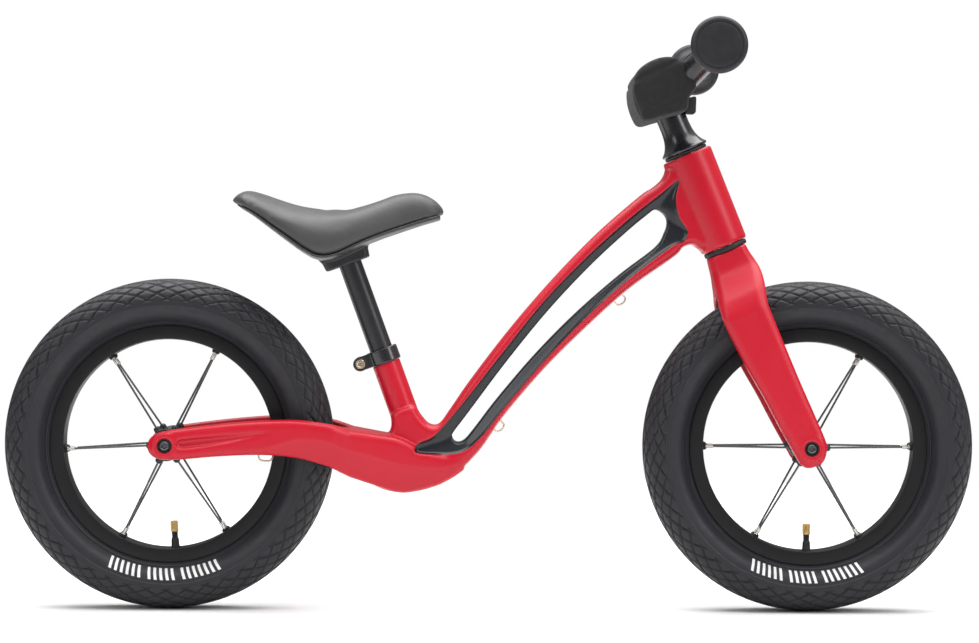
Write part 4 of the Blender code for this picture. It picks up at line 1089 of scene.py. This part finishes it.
SPOKE_ANGLES = 6
NIPPLE = [(0, -10), (1.5, -10), (1.8, -9.5), (1.8, -3.4), (2.1, -3), (2.1, -1), (0, -1)]
RIM_SEAT = [(0, -3), (2.7, -3), (3.3, -2.4), (3.8, -0.6), (4.2, 0.8), (0, 0.8)]
RIM_PROFILE = [(101.0, 11.4), (101.2, 12.6), (101.9, 13.5), (103.2, 13.8), (112.4, 13.8), (113.6, 13.5),
    (114.0, 12.8), (113.8, 12.1), (109.2, 12.1), (109.0, 8.2), (106, 6.0)]


def rim_shape():
    inside = [(101.0, 8.5), (100.6, 6.5), (100.4, 4.0)]
    return turned(mirrored(inside[::-1] + RIM_PROFILE), 240, "Y")


def toward(low, high):
    """Matrix that carries Z onto the way from low to high, with its origin at low."""
    return Matrix.Translation(low) @ (high - low).to_track_quat("Z", "Y").to_matrix().to_4x4()


def spoke_ends(turn, index, side):
    angle = math.radians(turn + 360 * index / SPOKE_ANGLES)
    ray = Vector((math.cos(angle), 0, math.sin(angle)))
    return ray * 16.5 + Vector((0, side * 24, 0)), ray * 100.6 + Vector((0, side * 5, 0))


def hub_mesh(name, turn):
    """Hub shell with six lobes on each flange, and a rounded seat where each spoke goes in."""
    half = [(0, 11.2, 0), (14, 11.2, 0), (19, 11.6, 0), (21.5, 13.4, 3.6), (22.6, 13.8, 4.0), (25.6, 13.8,
        4.0), (26.6, 13.6, 3.4), (27.6, 14.4, 0.4), (29, 15.5, 0), (33.2, 15.5, 0), (33.8, 15.0, 0), (33.8,
        13.0, 0), (33.1, 12.9, 0), (33.1, 9.0, 0)]
    rings = []
    for y, radius, lobe in [(-y, r, e) for y, r, e in reversed(half[1:])] + half:
        ring = []
        for angle in angles(120):
            near = math.cos(SPOKE_ANGLES * (angle - math.radians(turn)))
            reach = radius + lobe * (0.5 + 0.5 * near) ** 1.6
            ring.append((reach * math.cos(angle), y, reach * math.sin(angle)))
        rings.append(ring)
    shapes = [loft(rings)]
    for index in range(SPOKE_ANGLES):
        for side in (-1, 1):
            low, high = spoke_ends(turn, index, side)
            seat = turned([(0, -5), (3.4, -5), (3.6, 1.0), (3.2, 2.4), (2.2, 3.3), (0, 3.5)], 24)
            shapes.append(placed(seat, toward(low, high)))
    return fused(shapes, [rod(5.4, -40, 40, 32, "Y")], 0.62, 2, name)


def knurled(profile, ridges, depth, steps=6):
    """Cap with fine ridges along it: each (radius, height, share) ring is cut by share of the depth."""
    rings = []
    for radius, height, share in profile:
        ring = []
        for angle in angles(ridges * steps):
            reach = radius - share * depth * (0.5 - 0.5 * math.cos(ridges * angle))
            ring.append((reach * math.cos(angle), reach * math.sin(angle), height))
        rings.append(ring)
    return loft(rings)


def tube_shape():
    half = [(151, 0), (149, 11.5), (143, 19.5), (136, 22.5), (129, 17.5), (121.5, 8.5), (114, 3.5)]
    return turned(half + [(r, -y) for r, y in reversed(half[1:])], 96, "Y")


for end, (matrix, turn) in WHEELS.items():
    body = f"{end}_wheel"
    piece(f"{end}_tyre_cover", tyre_mesh(f"{end}_tyre_cover"), TYRE_RUBBER, body,
        (f"{end}_tyre",), Matrix.Translation(matrix.translation * MM))
    for name, side in (("right", -1), ("left", 1)):
        piece(f"{end}_sidewall_print_{name}", placed(tyre_marks(side), matrix), MARK_WHITE, body)
    piece(f"{end}_rim_ring", placed(rim_shape(), matrix), RIM_BLACK, body, (f"{end}_rim",))
    piece(f"{end}_hub_shell", hub_mesh(f"{end}_hub_shell", turn), HUB_BLACK, body,
        (f"{end}_hub",), Matrix.Translation(matrix.translation * MM))
    for name in ("left", "right"):
        NODES[f"{end}_bearing_{name}"].material_slots[0].material = STEEL

    nipples, seats = [], []
    number = 0
    for index in range(SPOKE_ANGLES):
        for side in (-1, 1):
            number += 1
            low, high = spoke_ends(turn, index, side)
            length = (high - low).length
            way = toward(low, high)
            shank = turned([(0, 0), (1.0, 0), (1.0, length - 4), (0, length - 4)], 16)
            piece(f"{end}_spoke_wire_{number:02d}", placed(placed(shank, way), matrix), SPOKE_STEEL, body,
                (f"{end}_spoke_{number:02d}",))
            nipples.append(placed(turned(raised(length, NIPPLE), 24), way))
            seats.append(placed(turned(raised(length, RIM_SEAT), 32), way))
    piece(f"{end}_nipples", placed(merged(nipples), matrix), STEEL, body)
    piece(f"{end}_spoke_seats", placed(merged(seats), matrix), RIM_BLACK, body)

    angle = math.radians(270 + turn)
    outward = Vector((math.cos(angle), 0, math.sin(angle)))
    valve_way = matrix @ outward.to_track_quat("Z", "Y").to_matrix().to_4x4()
    stem = [(0, 86), (2.9, 86), (3.1, 86.4)]
    for k in range(6):
        stem += [(3.1, 86.9 + 0.8 * k), (2.75, 87.3 + 0.8 * k)]
    stem += [(3.3, 92), (3.7, 93.5), (3.8, 96), (4.0, 99.5), (5.0, 101.2), (5.0, 103), (3.8, 104), (3.8,
        116), (0, 116)]
    tube = merged([placed(tube_shape(), matrix), placed(turned(stem, 40), valve_way)])
    piece(f"{end}_tube_and_valve", tube, VALVE_RUBBER, body, (f"{end}_inner_tube",))
    cap = knurled([(2.2, 75.2, 0), (3.2, 75.4, 0), (3.6, 76.0, 0.3), (3.8, 76.6, 1), (3.8, 83.4, 1), (3.8,
        83.9, 0), (3.8, 85.3, 0), (3.5, 85.7, 0)], 24, 0.45)
    piece(f"{end}_valve_cap_brass", placed(cap, valve_way), BRASS, body, (f"{end}_valve_cap",))


# ---- Floor, light and camera

def floor_material():
    look = Look("floor", 0.85, 0.0, Specular_IOR_Level=0.1)
    look.colour(look.mix(look.noise(3, 2), (0.80, 0.80, 0.80), (0.83, 0.83, 0.83)))
    look.bump([(look.noise(120, 2), 0.05, 0.0002)])
    return look.material


FLOOR_RADIUS = 1700
floor = linked("floor", mesh_of("floor", ([(FLOOR_RADIUS * math.cos(a), FLOOR_RADIUS * math.sin(a),
    -0.4) for a in angles(128)], [tuple(range(128))]), 0))
floor.data.materials.append(floor_material())


def softbox(name, place, target, size, power):
    light = bpy.data.lights.new(name, "AREA")
    light.shape = "RECTANGLE"
    light.size, light.size_y = size
    light.energy = power
    made = linked(name, light)
    made.location = place
    made.rotation_mode = "QUATERNION"
    made.rotation_quaternion = (Vector(target) - Vector(place)).to_track_quat("-Z", "Y")


softbox("top_light", (0.0, 0.2, 2.4), (0, 0.2, 0), (3.6, 3.0), 150)
softbox("front_left_light", (-2.4, -2.2, 1.6), (0, 0, 0.3), (1.2, 2.0), 22)
softbox("front_right_light", (2.6, -1.6, 1.7), (0, 0, 0.3), (1.0, 2.0), 34)

world = bpy.data.worlds.new("studio")
bpy.context.scene.world = world
world.use_nodes = True
world.node_tree.nodes.clear()
studio = Nodes(world.node_tree)
place = studio.add("ShaderNodeTexCoord").outputs["Generated"]
height = studio.add("ShaderNodeSeparateXYZ", {0: place}).outputs["Z"]
glow = studio.spread(height, 0.16, 0.5, -0.05, 0.7)
camera_ray = studio.add("ShaderNodeLightPath").outputs["Is Camera Ray"]
strength = studio.add("ShaderNodeMix", {0: camera_ray, 2: glow, 3: 1.0}).outputs[0]
sky = studio.add("ShaderNodeBackground", {"Strength": strength, "Color": (1, 1, 1, 1)}).outputs[0]
studio.add("ShaderNodeOutputWorld", {"Surface": sky})

CAMERA_PLACE = (0.012, -2.9, 0.341)
CAMERA_TARGET = (0.0007, 0, 0.278)
CAMERA_ROLL = math.radians(0.26)
FOCAL_LENGTH = 110.4
lens = bpy.data.cameras.new("camera")
lens.sensor_width = 36
lens.lens = FOCAL_LENGTH
camera = linked("camera", lens)
camera.location = CAMERA_PLACE
camera.rotation_mode = "QUATERNION"
aim = Vector(CAMERA_TARGET) - camera.location
camera.rotation_quaternion = aim.to_track_quat("-Z", "Y") @ Quaternion((0, 0, 1), CAMERA_ROLL)
bpy.context.scene.camera = camera
bpy.context.scene.view_settings.view_transform = "Standard"
